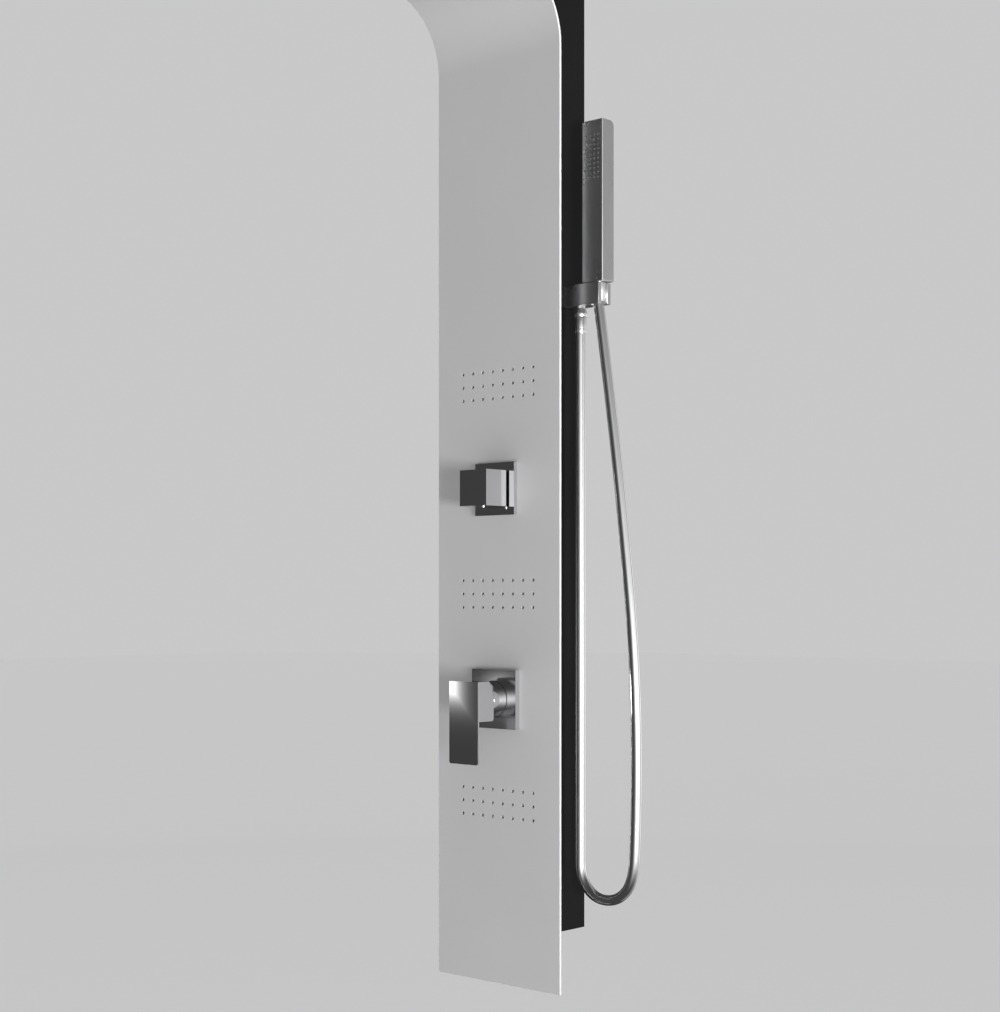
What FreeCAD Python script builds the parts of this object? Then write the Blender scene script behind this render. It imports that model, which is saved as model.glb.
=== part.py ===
"""Shower panel column: a bent metal front panel on a black wall chassis, with body jets, an overhead
rain array, a single-lever mixer, a diverter knob and a stick handset on a hose.

Millimetres. +Z is up, the wall is the plane Y = 0 and -Y points into the room.
The origin is the middle of the lower wall bracket's back face, on the panel's centre line.
"""

import FreeCAD
import Part
import math
import os

V = FreeCAD.Vector

# Front panel: a 3 mm sheet that bends forward over the user
panel_width = 200.0
sheet = 3.0
standoff = 60.0            # wall to the panel's front face
panel_bottom = -140.0      # lower edge, under the lower wall bracket
flat_height = 1125.0       # from the lower edge to where the bend begins
bend_radius = 90.0         # of the front face
reach = 420.0              # wall to the overhead's front edge

# Chassis: folded black sheet, open towards the wall
chassis_half = 88.0
chassis_foot = 71.6        # its lower end, above the panel's lower edge
chassis_sheet = 1.5
chassis_lip = 14.0
hose_entry = (80.0, (-44.0, -8.0))   # width and Y of the opening in its foot
overhead_depth = 22.0      # black cover above the overhead sheet

# Jets: three body arrays and one overhead array, all on one pitch
jet_pitch = 16.5
jet_columns = 8
jet_rows = 3
rain_rows = 3
jet_hole = 1.7             # radius in the panel
jet_tip = 1.3              # radius of the silicone tip in it
jet_heights = {"lower": 219.5, "middle": 475.0, "upper": 730.5}
rain_middle = -325.0       # Y of the overhead array's centre
mat = 2.0                  # silicone nozzle mat
manifold_half = (66.0, 25.0)
manifold_depth = 12.0
manifold_stub = 5.0
rain_half = (66.0, 34.0)

# Controls, on the panel's centre line
mixer_height = 347.0
diverter_height = 602.6
mixer_plate_size = 72.0
mixer_plate_depth = 7.0
diverter_plate_size = 64.0
diverter_plate_depth = 6.0
sleeve_radius = 21.8
sleeve_end = -89.5         # Y of the sleeve's front
handle_half = 23.65
handle_back = -92.5
handle_front = -120.0
handle_sheet = 2.3
handle_above = 23.0        # handle's top over the mixer's axis
handle_below = 76.0
block_below = 24.5
lever_pivot = -82.0        # Y of the lever's tilting pin
handle_screw_y = -99.0
cartridge_radius = 17.5
knob_half = 21.75
knob_back = -68.0
knob_front = -103.5
grub_y = -85.5
stem_radius = 5.0

# Pipes behind the panel, and the running fit of what turns
pipe_radius = 6.0
pipe_bore = 4.5
pipe_bend = 24.0
pipe_y = -26.5
socket = 8.0
fit = 0.05
free = 0.3

# Outlet bracket and holder on the chassis's right side
bracket_end = 140.9
bracket_y = (-38.0, -15.0)
bracket_height = 830.0
bracket_half = 12.5
outlet_x = 104.0
seat_x = 131.0
seat_top_radius = 10.0
seat_foot_radius = 8.3
slot_half = 6.0

# Handset, a square stick
handset_half = 15.5
handset_y = (-37.5, -15.5)
handset_foot = 843.5
handset_top = 1034.0
handset_wall = 2.0
handset_rounding = 7.0
spray_pitch = (6.0, 5.55)
spray_columns = 4
spray_rows = 10
spray_middle = 991.0
spray_hole = 1.4
spray_tip = 1.2
connector_radius = 6.95

# Hose
hose_radius = 6.25
hose_sides = 8
sleeve_top = 804.9
hose_start = 785.4
hose_end = 819.3

# Places worked out from the sizes above
front = -standoff
back = front + sheet
bend_z = panel_bottom + flat_height
bend_y = front - bend_radius
under = bend_z + bend_radius           # the overhead's lower face
over = under + sheet
roof = over + overhead_depth
mixer_z = panel_bottom + mixer_height
diverter_z = panel_bottom + diverter_height
bracket_z = panel_bottom + bracket_height
foot_z = panel_bottom + chassis_foot
upper_wall_bracket = 850.0
rain_depth = overhead_depth - chassis_sheet - mat


def box(x, y, z):
    """A block between the two X, two Y and two Z values."""
    low = V(min(x), min(y), min(z))
    return Part.makeBox(abs(x[1] - x[0]), abs(y[1] - y[0]), abs(z[1] - z[0]), low)


def sides_for(radius):
    """How many sides stand for a circle, so that small hidden pieces stay light."""
    for limit, sides in ((3.0, 6), (5.2, 8), (9.2, 10), (16.0, 14), (20.0, 20)):
        if radius < limit:
            return sides
    return 24


def corners(sides, radius, centre, way):
    """Corners of a regular outline square to the way, starting above or to the right."""
    across = V(0, 0, 1) if abs(way.z) < 0.9 * way.Length else V(1, 0, 0)
    across = (across - way * (across.dot(way) / way.dot(way))).normalize()
    other = V(way).normalize().cross(across)
    turns = [2 * math.pi * i / sides for i in range(sides)]
    return [centre + (across * math.cos(turn) + other * math.sin(turn)) * radius for turn in turns]


def outline(sides, radius, centre, way):
    """Closed many-sided outline square to the way; radius is to its corners."""
    points = corners(sides, radius, centre, way)
    return Part.makePolygon(points + points[:1])


def prism(sides, radius, start, end):
    """A bar with a regular section; radius is to its corners."""
    return Part.Face(outline(sides, radius, start, end - start)).extrude(end - start)


def rod(radius, start, end):
    """A round bar from one point to another, light: its corners lie on the radius."""
    return prism(sides_for(radius), radius, start, end)


def bearing(radius, start, end):
    """A light round hole for something that turns in it: its flats lie on the radius."""
    sides = sides_for(radius)
    return prism(sides, radius / math.cos(math.pi / sides), start, end)


def true_rod(radius, start, end):
    """An exact round bar, for interfaces to the outside."""
    return Part.makeCylinder(radius, (end - start).Length, start, end - start)


def skinned(rows):
    """A solid with flat faces between rows of corners; every row has as many as the next."""
    faces = [Part.Face(Part.makePolygon(row + row[:1])) for row in (rows[0], rows[-1])]
    for row, further in zip(rows, rows[1:]):
        for i in range(len(row)):
            j = (i + 1) % len(row)
            faces.append(Part.Face(Part.makePolygon([row[i], row[j], further[j], further[i], row[i]])))
    solid = Part.Solid(Part.Shell(faces))
    if solid.Volume < 0:
        solid.reverse()
    return solid


def turned(stations, start, way):
    """A light turned solid: stations are (radius, distance along the way)."""
    sides = sides_for(max(radius for radius, distance in stations))
    return skinned([corners(sides, radius, start + way * distance, way) for radius, distance in stations])


def join(shapes):
    return shapes[0].multiFuse(shapes[1:]).removeSplitter()


def slab(place, start, steps, way):
    """Extrudes a flat outline. A step is (end,) for a line or (through, end) for an arc;
    place turns a pair of values into a point."""
    edges = []
    here = place(*start)
    for step in steps + [(start,)]:
        there = place(*step[-1])
        if len(step) == 2:
            edges.append(Part.Arc(here, place(*step[0]), there).toShape())
        elif (there - here).Length > 1e-6:
            edges.append(Part.LineSegment(here, there).toShape())
        here = there
    return Part.Face(Part.Wire(edges)).extrude(way)


def side_slab(half, start, steps):
    """A slab across X, from -half to half, drawn as a (Y, Z) outline."""
    return slab(lambda y, z: V(-half, y, z), start, steps, V(2 * half, 0, 0))


def chosen_edges(shape, chosen):
    """The straight edges whose direction and middle pass the test."""
    edges = []
    for edge in shape.Edges:
        if edge.Curve.TypeId == "Part::GeomLine":
            way = edge.tangentAt(edge.FirstParameter)
            if chosen(way, edge.CenterOfMass):
                edges.append(edge)
    return edges


def ease(shape, width, chosen):
    """Takes the sharp edge off with a narrow flat."""
    return shape.makeChamfer(width, chosen_edges(shape, chosen))


def round_over(shape, radius, chosen):
    return shape.makeFillet(radius, chosen_edges(shape, chosen))


def bent_path(points):
    """Straight runs joined by tangent arcs; each arc is as large as its two runs allow.
    Returns the wire, its length and the radii."""
    edges = []
    radii = []
    here = points[0]
    for before, corner, after in zip(points, points[1:], points[2:]):
        way_in = (corner - before).normalize()
        way_out = (after - corner).normalize()
        half_turn = way_in.getAngle(way_out) / 2
        reach_back = 0.45 * min((corner - before).Length, (after - corner).Length)
        radii.append(reach_back / math.tan(half_turn))
        start = corner - way_in * reach_back
        end = corner + way_out * reach_back
        inwards = (way_out - way_in).normalize()
        middle = corner + inwards * (radii[-1] / math.cos(half_turn) - radii[-1])
        edges.append(Part.LineSegment(here, start).toShape())
        edges.append(Part.Arc(start, middle, end).toShape())
        here = end
    edges.append(Part.LineSegment(here, points[-1]).toShape())
    wire = Part.Wire(edges)
    return wire, wire.Length, radii


def pipe(points):
    """A bent water pipe, mitred at each step of its bends. What it plugs into closes its ends."""
    places = [points[0]]
    for before, corner, after in zip(points, points[1:], points[2:]):
        way_in = (corner - before).normalize()
        way_out = (after - corner).normalize()
        bend = min(pipe_bend, 0.45 * (corner - before).Length, 0.45 * (after - corner).Length)
        places += [corner - way_in * bend, corner - way_in * (0.4 * bend) + way_out * (0.09 * bend),
                   corner - way_in * (0.09 * bend) + way_out * (0.4 * bend), corner + way_out * bend]
    places.append(points[-1])
    rows = [corners(sides_for(pipe_radius), pipe_radius, places[0], places[1] - places[0])]
    for before, here, after in zip(places, places[1:], places[2:] + [None]):
        way = (here - before).normalize()
        square = way if after is None else (way + (after - here).normalize())
        rows.append([at + way * ((here - at).dot(square) / way.dot(square)) for at in rows[-1]])
    return skinned(rows)


def save(name, shape):
    if not shape.isValid():
        raise ValueError(name + " is not a valid solid")
    shape.exportStep("parts/" + name + ".step")


def arc_point(radius, degrees):
    """A point of the top bend, on the given radius, counted from the flat panel."""
    turn = math.radians(degrees)
    return bend_y + radius * math.cos(turn), bend_z + radius * math.sin(turn)


def jet_grid(rows):
    """Centres of a jet array, counted from its middle."""
    for column in range(jet_columns):
        for row in range(rows):
            yield (column - (jet_columns - 1) / 2) * jet_pitch, (row - (rows - 1) / 2) * jet_pitch


# ---- Front panel and chassis ---------------------------------------------

stud_places = [(side * 76.0, panel_bottom + height) for side in (-1, 1) for height in (110.0, 548.0, 1060.0)]
stud_radius = 2.5
panel_hole_mixer = 23.0
panel_hole_diverter = 15.5


def front_panel():
    """The bent sheet with its jet holes, its two valve holes and the studs on its back."""
    inner = bend_radius
    outer = bend_radius + sheet
    shape = side_slab(panel_width / 2, (front, panel_bottom), [
        ((front, bend_z),),
        (arc_point(inner, 45), arc_point(inner, 90)),
        ((-reach, under),),
        ((-reach, over),),
        ((bend_y, over),),
        (arc_point(outer, 45), (back, bend_z)),
        ((back, panel_bottom),),
    ])
    holes = [
        rod(panel_hole_mixer, V(0, front - 1, mixer_z), V(0, back + 1, mixer_z)),
        rod(panel_hole_diverter, V(0, front - 1, diverter_z), V(0, back + 1, diverter_z)),
    ]
    for height in jet_heights.values():
        z = panel_bottom + height
        for x, rise in jet_grid(jet_rows):
            holes.append(prism(4, jet_hole, V(x, front - 1, z + rise), V(x, back + 1, z + rise)))
    for x, along in jet_grid(rain_rows):
        y = rain_middle + along
        holes.append(prism(4, jet_hole, V(x, y, under - 1), V(x, y, over + 1)))
    shape = shape.cut(holes)
    studs = [rod(stud_radius, V(x, back - 0.5, z), V(x, back + 9, z)) for x, z in stud_places]
    return join([shape] + studs)


def chassis():
    """Web against the panel, two sides that follow the bend, foot, roof and back lips."""
    outer = bend_radius + sheet
    inner = outer + chassis_sheet
    skin = chassis_sheet
    shape = side_slab(chassis_half, (0, foot_z), [
        ((back, foot_z),),
        ((back, bend_z),),
        (arc_point(outer, 45), arc_point(outer, 90)),
        ((bend_y, roof),),
        ((0, roof),),
    ])
    hollow = side_slab(chassis_half - skin, (-skin, foot_z + skin), [
        ((back + skin, foot_z + skin),),
        ((back + skin, bend_z),),
        (arc_point(inner, 45), arc_point(inner, 90)),
        ((bend_y - 1, over + skin),),
        ((bend_y - 1, roof - skin),),
        ((-skin, roof - skin),),
    ])
    web = (back - 1, back + skin + 1)
    opening = chassis_half - chassis_lip
    tools = [
        hollow,
        box((-opening, opening), (-skin - 1, 1), (foot_z + chassis_lip, roof - chassis_lip)),
        box((-hose_entry[0] / 2, hose_entry[0] / 2), hose_entry[1], (foot_z - 1, foot_z + skin + 1)),
        rod(mixer_barrel + 0.5, V(0, web[0], mixer_z), V(0, web[1], mixer_z)),
        rod(diverter_barrel + 0.5, V(0, web[0], diverter_z), V(0, web[1], diverter_z)),
        rod(spigot_radius + 0.2, V(chassis_half - 3, pipe_y, bracket_z), V(chassis_half + 1, pipe_y, bracket_z)),
    ]
    for height in jet_heights.values():
        z = panel_bottom + height
        half_x, half_z = manifold_half
        tools.append(box((-half_x - 1, half_x + 1), web, (z - half_z - 1, z + half_z + 1)))
    for x, z in stud_places:
        tools.append(rod(stud_radius + 0.2, V(x, web[0], z), V(x, web[1], z)))
    return shape.cut(tools)


def panel_nuts():
    """Hexagon nuts that hold the panel's studs in the chassis's web."""
    seat = back + chassis_sheet
    nuts = []
    for x, z in stud_places:
        nut = prism(6, 4.62, V(x, seat, z), V(x, seat + 4, z))
        nuts.append(nut.cut(rod(stud_radius, V(x, seat - 1, z), V(x, seat + 5, z))))
    return Part.makeCompound(nuts)


def overhead_cover():
    """Shallow black tray upside down on the overhead sheet, open towards the chassis."""
    skin = chassis_sheet
    tip = -reach + panel_width / 2 - chassis_half
    shape = box((-chassis_half, chassis_half), (tip, bend_y), (over, roof))
    half = chassis_half - skin
    return shape.cut(box((-half, half), (tip + skin, bend_y + 1), (over - 1, roof - skin)))


# ---- Wall brackets ---------------------------------------------------------

hook_shelf = 18.5
bar_y = (-5.3, -2.3)


def wall_bracket(z):
    """A folded strip screwed to the wall; its upturned hook carries the chassis's bar."""
    shape = side_slab(60.0, (0, z - 20), [
        ((0, z + hook_shelf),),
        ((bar_y[0] - 0.3, z + hook_shelf),),
        ((bar_y[0] - 0.3, z + hook_shelf + 12),),
        ((bar_y[0] - 2.3, z + hook_shelf + 12),),
        ((bar_y[0] - 2.3, z + hook_shelf - 2),),
        ((-2.0, z + hook_shelf - 2),),
        ((-2.0, z - 20),),
    ])
    return shape.cut([true_rod(screw_hole, V(x, -3, z), V(x, 1, z)) for x in (-40.0, 40.0)])


def hanger_bar(z):
    """Flat bar across the chassis that drops behind the wall bracket's hook."""
    half = chassis_half - chassis_sheet
    return box((-half, half), bar_y, (z + hook_shelf, z + hook_shelf + 20))


screw_hole = 2.75

# ---- Jets --------------------------------------------------------------------


def jet_mat(z):
    """Silicone mat behind the panel with one tip in each jet hole."""
    half_x, half_z = manifold_half
    shapes = [box((-half_x + 4, half_x - 4), (back, back + mat), (z - half_z + 3, z + half_z - 3))]
    for x, rise in jet_grid(jet_rows):
        shapes.append(prism(4, jet_tip, V(x, back + 0.5, z + rise), V(x, back - 1.8, z + rise)))
    return join(shapes)


def jet_manifold(z):
    """Moulded water box behind the mat, with its inlet stub at the back."""
    half_x, half_z = manifold_half
    near = back + mat
    far = near + manifold_depth
    shape = box((-half_x, half_x), (near, far), (z - half_z, z + half_z))
    hollow = box((-half_x + 7, half_x - 7), (near - 1, far - 2.5), (z - half_z + 6, z + half_z - 6))
    stub = rod(pipe_radius + 2, V(riser_x, far, z), V(riser_x, far + manifold_stub, z))
    bore = rod(pipe_bore, V(riser_x, far - 4, z), V(riser_x, far + manifold_stub + 1, z))
    return join([shape.cut(hollow), stub]).cut(bore)


def rain_block(x_half, y_half, low, high):
    return box((-x_half, x_half), (rain_middle - y_half, rain_middle + y_half), (low, high))


def rain_mat():
    shapes = [rain_block(rain_half[0] - 4, rain_half[1] - 4, over, over + mat)]
    for x, along in jet_grid(rain_rows):
        y = rain_middle + along
        shapes.append(prism(4, jet_tip, V(x, y, over + 0.5), V(x, y, over - 1.8)))
    return join(shapes)


def rain_chamber():
    """Flat water box over the overhead mat, held down by the cover and fed from behind."""
    low = over + mat
    high = low + rain_depth
    shape = rain_block(*rain_half, low, high)
    hollow = rain_block(rain_half[0] - 6, rain_half[1] - 6, low - 1, high - 3)
    return shape.cut([hollow, rain_pipe()])


# ---- Mixer ---------------------------------------------------------------------

mixer_barrel = 27.0
mixer_back = -12.0
neck_radius = 20.5
neck_end = -74.0
inlet_x = 20.0
inlet_y = -24.0
leg_drop = 38.0
outlet_rise = 36.0
tail_hex = 13.86
tail_thread = 10.48
tail_length = 16.0


def along_y(radius, y0, y1, z):
    return rod(radius, V(0, y0, z), V(0, y1, z))


def mixer_body():
    """Brass barrel with two inlet legs below and one outlet above."""
    z = mixer_z
    shapes = [along_y(mixer_barrel, mixer_back, back, z), along_y(neck_radius, back, neck_end, z)]
    cuts = [along_y(cartridge_radius, -32, neck_end - 1, z), along_y(19.0, -70, neck_end - 1, z)]
    for x in (-inlet_x, inlet_x):
        foot = V(x, inlet_y, z - leg_drop)
        shapes.append(rod(11.5, V(x, inlet_y, z - 5), foot))
        cuts.append(rod(8.5, foot + V(0, 0, 8), foot - V(0, 0, 1)))
    shapes.append(rod(9.0, V(0, pipe_y, z), V(0, pipe_y, z + outlet_rise)))
    cuts.append(rod(pipe_radius, V(0, pipe_y, z + outlet_rise - socket), V(0, pipe_y, z + outlet_rise + 1)))
    return join(shapes).cut(cuts)


def inlet_tail(side):
    """Hexagon and male thread that a supply hose screws onto."""
    top = V(side * inlet_x, inlet_y, mixer_z - leg_drop)
    down_by = lambda distance: top - V(0, 0, distance)
    shapes = [
        rod(8.5, down_by(-8), top),
        prism(6, tail_hex, top, down_by(8)),
        true_rod(tail_thread, down_by(8), down_by(8 + tail_length)),
    ]
    return join(shapes).cut(rod(7.0, down_by(-9), down_by(9 + tail_length)))


def check_valves():
    """One-way valves pushed into the two inlet tails."""
    valves = []
    for x in (-inlet_x, inlet_x):
        top = V(x, inlet_y, mixer_z - leg_drop + 6)
        foot = top - V(0, 0, 14)
        valves.append(rod(7.0, top, foot).cut(rod(3.0, top, foot)))
    return Part.makeCompound(valves)


def mixer_cartridge():
    z = mixer_z
    shape = join([along_y(cartridge_radius, -32, -70, z), along_y(14.2, -70, -87, z)])
    return shape.cut(bearing(13.0, V(0, -75.7, z), V(0, -88, z)))


def cartridge_nut():
    return along_y(19.0, -70, -77, mixer_z).cut(along_y(14.2, -69, -78, mixer_z))


def mixer_sleeve():
    """Bright cup screwed over the valve's neck; the lever's stem comes out of its end."""
    z = mixer_z
    root = front - mixer_plate_depth + seal_depth
    length = root - sleeve_end
    shape = turned([(sleeve_radius, 0), (sleeve_radius, length - 1.2), (sleeve_radius - 1.2, length)],
                   V(0, root, z), V(0, -1, 0))
    return shape.cut([along_y(neck_radius, 0, sleeve_end + 1.5, z), along_y(15.0, 0, sleeve_end - 1, z)])


def control_plate(size, depth, z):
    half = size / 2
    shape = box((-half, half), (front, front - depth), (z - half, z + half))
    return ease(shape, 0.6, lambda way, at: at.y < front - 0.1)


def mixer_plate():
    """Square plate that the sleeve clamps to the panel; its hole is stepped for the sleeve's end."""
    outside = front - mixer_plate_depth
    return control_plate(mixer_plate_size, mixer_plate_depth, mixer_z).cut([
        along_y(neck_radius + free, front + 1, outside - 1, mixer_z),
        along_y(sleeve_radius + seal, outside + seal_depth, outside - 1, mixer_z),
    ])


def plate_seal():
    """Black rubber ring between the sleeve and its plate."""
    outside = front - mixer_plate_depth
    return along_y(sleeve_radius + seal, outside + seal_depth, outside, mixer_z).cut(
        along_y(sleeve_radius, outside + 3, outside - 1, mixer_z))


seal = 0.8
seal_depth = 1.5
slot_x = 4.0 + free
slot_z = 6.6


def cartridge_spindle():
    """Turning collar in the cartridge's mouth; the lever tilts in its slot."""
    z = mixer_z
    shape = true_rod(13.0 - fit, V(0, -76, z), V(0, -87.5, z))
    slot = box((-slot_x, slot_x), (-77.5, -89), (z - slot_z, z + slot_z))
    pin = rod(1.5, V(-12, lever_pivot, z), V(12, lever_pivot, z))
    return shape.cut([slot, pin])


def lever_pin():
    return rod(1.5, V(-12, lever_pivot, mixer_z), V(12, lever_pivot, mixer_z))


def lever_stem():
    """Square stem with a round heel that tilts on the pin."""
    z = mixer_z
    bar = box((-4, 4), (lever_pivot, -106), (z - 4, z + 4))
    heel = true_rod(4.0, V(-4, lever_pivot, z), V(4, lever_pivot, z))
    return join([bar, heel]).cut(bearing(1.5 + fit, V(-5, lever_pivot, z), V(5, lever_pivot, z)))


def handle():
    """One casting: a thin front plate that hangs down, and a block relieved at its upper back."""
    top = mixer_z + handle_above
    block_foot = mixer_z - block_below
    joint = handle_front + handle_sheet
    block = side_slab(handle_half, (joint - 0.5, block_foot), [
        ((handle_back - 3, block_foot),),
        ((handle_back - 0.9, block_foot + 0.9), (handle_back, block_foot + 3)),
        ((handle_back, mixer_z + 4),),
        ((handle_back - 2.2, mixer_z + 12), (handle_back - 5.4, top - 3.6)),
        ((handle_back - 6.8, top - 1.2), (handle_back - 9.2, top)),
        ((joint - 0.5, top),),
    ])
    plate = box((-handle_half, handle_half), (joint, handle_front), (mixer_z - handle_below, top))
    plate = round_over(plate, 3.0, lambda way, at: abs(way.y) > 0.9 and at.z < mixer_z)
    socket_hole = box((-4, 4), (handle_back + 1, -106), (mixer_z - 4, mixer_z + 4))
    screw_way = rod(2.5, V(0, handle_screw_y, block_foot - 1), V(0, handle_screw_y, mixer_z))
    return join([block, plate]).cut([socket_hole, screw_way])


def grub_screw(radius, y, low, high):
    """Headless screw with a hexagon socket in its lower end."""
    shape = rod(radius, V(0, y, low), V(0, y, high))
    return shape.cut(prism(6, radius * 0.55, V(0, y, low - 1), V(0, y, low + 2.5)))


# ---- Diverter --------------------------------------------------------------------

diverter_barrel = 22.0
port_out = 32.0
riser_x = -55.0
rain_pipe_z = over + mat + rain_depth / 2


def diverter_body():
    """Brass barrel with a port on each of its four sides."""
    z = diverter_z
    shapes = [along_y(diverter_barrel, -14, back, z), along_y(14.0, back, front - 2, z)]
    cuts = [along_y(11.0, -30, front - 3, z)]
    for way in (V(1, 0, 0), V(-1, 0, 0), V(0, 0, 1), V(0, 0, -1)):
        middle = V(0, pipe_y, z)
        shapes.append(rod(8.5, middle, middle + way * port_out))
        cuts.append(rod(pipe_radius, middle + way * (port_out - socket), middle + way * (port_out + 1)))
    return join(shapes).cut(cuts)


def diverter_cartridge():
    bore = bearing(stem_radius + fit, V(0, -34, diverter_z), V(0, front - 3, diverter_z))
    return along_y(11.0, -30, front - 2, diverter_z).cut(bore)


def diverter_plate():
    z = diverter_z
    shape = control_plate(diverter_plate_size, diverter_plate_depth, z)
    outside = front - diverter_plate_depth
    return shape.cut([along_y(14.2, front + 1, front - 2.3, z), along_y(7.0, front + 1, outside - 1, z)])


def diverter_stem():
    return true_rod(stem_radius, V(0, -34.3, diverter_z), V(0, knob_front + 5.5, diverter_z))


def diverter_knob():
    """Square solid knob, bored from behind, with a grub screw hole underneath."""
    z = diverter_z
    shape = box((-knob_half, knob_half), (knob_back, knob_front), (z - knob_half, z + knob_half))
    shape = ease(shape, 0.6, lambda way, at: at.y < knob_back - 1)
    bore = true_rod(stem_radius, V(0, knob_back + 1, z), V(0, knob_front + 5.5, z))
    screw_way = rod(2.3, V(0, grub_y, z - knob_half - 1), V(0, grub_y, z))
    return shape.cut([bore, screw_way])


# ---- Pipes behind the panel --------------------------------------------------------


def feed_pipe():
    low = mixer_z + outlet_rise - socket
    high = diverter_z - port_out + socket
    return rod(pipe_radius, V(0, pipe_y, low), V(0, pipe_y, high))


def jet_riser():
    """Upright pipe with a branch to each body manifold and one from the diverter."""
    heights = [panel_bottom + h for h in jet_heights.values()]
    low = min(heights) - pipe_radius - 3
    high = max(heights) + pipe_radius + 3
    shapes = [rod(pipe_radius, V(riser_x, pipe_y, low), V(riser_x, pipe_y, high))]
    near = back + mat + manifold_depth + manifold_stub
    for z in heights:
        shapes.append(rod(pipe_radius, V(riser_x, pipe_y, z), V(riser_x, near, z)))
    side = -port_out + socket
    shapes.append(rod(pipe_radius, V(riser_x, pipe_y, diverter_z), V(side, pipe_y, diverter_z)))
    return join(shapes)


def rain_pipe():
    entry = rain_middle + rain_half[1] - 6
    return pipe([V(0, pipe_y, diverter_z + port_out - socket), V(0, pipe_y, rain_pipe_z - 40),
                 V(0, pipe_y - 40, rain_pipe_z), V(0, entry, rain_pipe_z)])


def handset_pipe():
    start = port_out - socket
    return pipe([V(start, pipe_y, diverter_z), V(50, pipe_y, diverter_z),
                 V(50, pipe_y, bracket_z), V(spigot_end, pipe_y, bracket_z)])


# ---- Outlet bracket, hose and fittings -----------------------------------------------

spigot_radius = 8.0
spigot_end = 74.0


def outlet_bracket():
    """Cast arm with the water way, and a fork at its end that holds the hose's conical nut."""
    z = bracket_z
    low = z - bracket_half
    high = z + bracket_half
    arm = box((chassis_half, bracket_end), bracket_y, (low, high))
    arm = ease(arm, 0.5, lambda way, at: abs(way.x) > 0.9 or at.x > bracket_end - 0.1)
    spigot = rod(spigot_radius, V(chassis_half + 1, pipe_y, z), V(spigot_end, pipe_y, z))
    cuts = [
        turned([(seat_foot_radius, 0), (seat_top_radius, high - low)], V(seat_x, pipe_y, low), V(0, 0, 1)),
        box((seat_x, bracket_end + 1), (pipe_y - slot_half, pipe_y + slot_half), (low - 1, high + 1)),
        rod(nipple_radius, V(outlet_x, pipe_y, low - 1), V(outlet_x, pipe_y, low + 6)),
    ]
    return join([arm, spigot]).cut(cuts)


nipple_radius = 5.5


def bracket_nut():
    inside = chassis_half - chassis_sheet
    return prism(6, 13.86, V(inside, pipe_y, bracket_z), V(inside - 6, pipe_y, bracket_z)).cut(
        rod(spigot_radius, V(inside + 1, pipe_y, bracket_z), V(inside - 7, pipe_y, bracket_z)))


def down(x, radius, high, low):
    """A round bar along Z; heights count from the panel's lower edge."""
    return rod(radius, V(x, pipe_y, panel_bottom + high), V(x, pipe_y, panel_bottom + low))


def outlet_nipple():
    foot = bracket_height - bracket_half
    return down(outlet_x, nipple_radius, foot + 6, sleeve_top + 1.5).cut(
        down(outlet_x, 3.5, foot + 7, sleeve_top))


def hose_washer():
    return down(outlet_x, nipple_radius, sleeve_top + 1.5, sleeve_top).cut(
        down(outlet_x, 3.5, sleeve_top + 2, sleeve_top - 1))


def hose_nut():
    """Round nut of the hose on the outlet, with a tapered shoulder."""
    stations = [(7.6, 0), (8.1, 0.5), (8.1, 4.5), (6.4, 10.5)]
    foot = V(outlet_x, pipe_y, panel_bottom + sleeve_top)
    return turned(stations, foot, V(0, 0, 1)).cut(down(outlet_x, nipple_radius, sleeve_top + 12, sleeve_top - 1))


def hose_sleeve():
    length = sleeve_top - hose_start
    foot = V(outlet_x, pipe_y, panel_bottom + hose_start)
    shape = turned([(6.5, 0), (7.0, 0.5), (7.0, length - 0.5), (6.5, length)], foot, V(0, 0, 1))
    return shape.cut(down(outlet_x, 3.5, sleeve_top + 1, hose_start - 1))


# The hose's route in its upright plane, as X and height above the panel's lower edge
hose_route = [
    (outlet_x, hose_start),
    (outlet_x, 138.0),
    (128.5, 113.0),
    (163.5, 113.0),
    (187.0, 138.0),
    (188.0, 198.0),
    (189.0, 300.0),
    (184.3, 420.0),
    (171.3, 545.0),
    (152.3, 685.0),
    (131.9, hose_end),
]


def hose():
    """Free hose that hangs from the outlet in a loop and comes up to the handset."""
    wire, length, radii = bent_path([V(x, pipe_y, panel_bottom + h) for x, h in hose_route])
    start = wire.Edges[0]
    section = outline(hose_sides, hose_radius, start.valueAt(start.FirstParameter), V(0, 0, -1))
    shape = Part.Solid(wire.makePipeShell([section], True, False))
    expected = hose_sides / 2 * math.sin(2 * math.pi / hose_sides) * hose_radius ** 2 * length
    print("hose length %.1f mm, volume / (section x length) %.4f" % (length, shape.Volume / expected))
    print("hose radii", " ".join("%.0f" % r for r in radii))
    return shape


cone_foot = 820.5
cone_top = 842.8
cone_washer = 828.0


def cone_nut():
    """Conical swivel nut of the hose; it sits in the bracket's seat and turns on the handset."""
    foot = V(seat_x, pipe_y, panel_bottom + cone_foot)
    length = cone_top - cone_foot
    slope = (seat_top_radius - seat_foot_radius) / (2 * bracket_half)
    foot_radius = seat_foot_radius - free + slope * (cone_foot - bracket_height + bracket_half)
    shape = turned([(foot_radius, 0), (foot_radius + slope * length, length)], foot, V(0, 0, 1))
    thread = bearing(connector_radius + fit, foot + V(0, 0, length + 1), foot + V(0, 0, cone_washer - cone_foot))
    return shape.cut([
        thread,
        down(seat_x, 4.0, cone_top, cone_foot - 1),
        down(seat_x, 7.3, cone_foot + 3.5, cone_foot - 1),
    ])


def handset_washer():
    return down(seat_x, 6.8, cone_washer + 1.5, cone_washer).cut(
        down(seat_x, 4.0, cone_washer + 2, cone_washer - 1))


# ---- Handset ------------------------------------------------------------------------------


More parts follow.
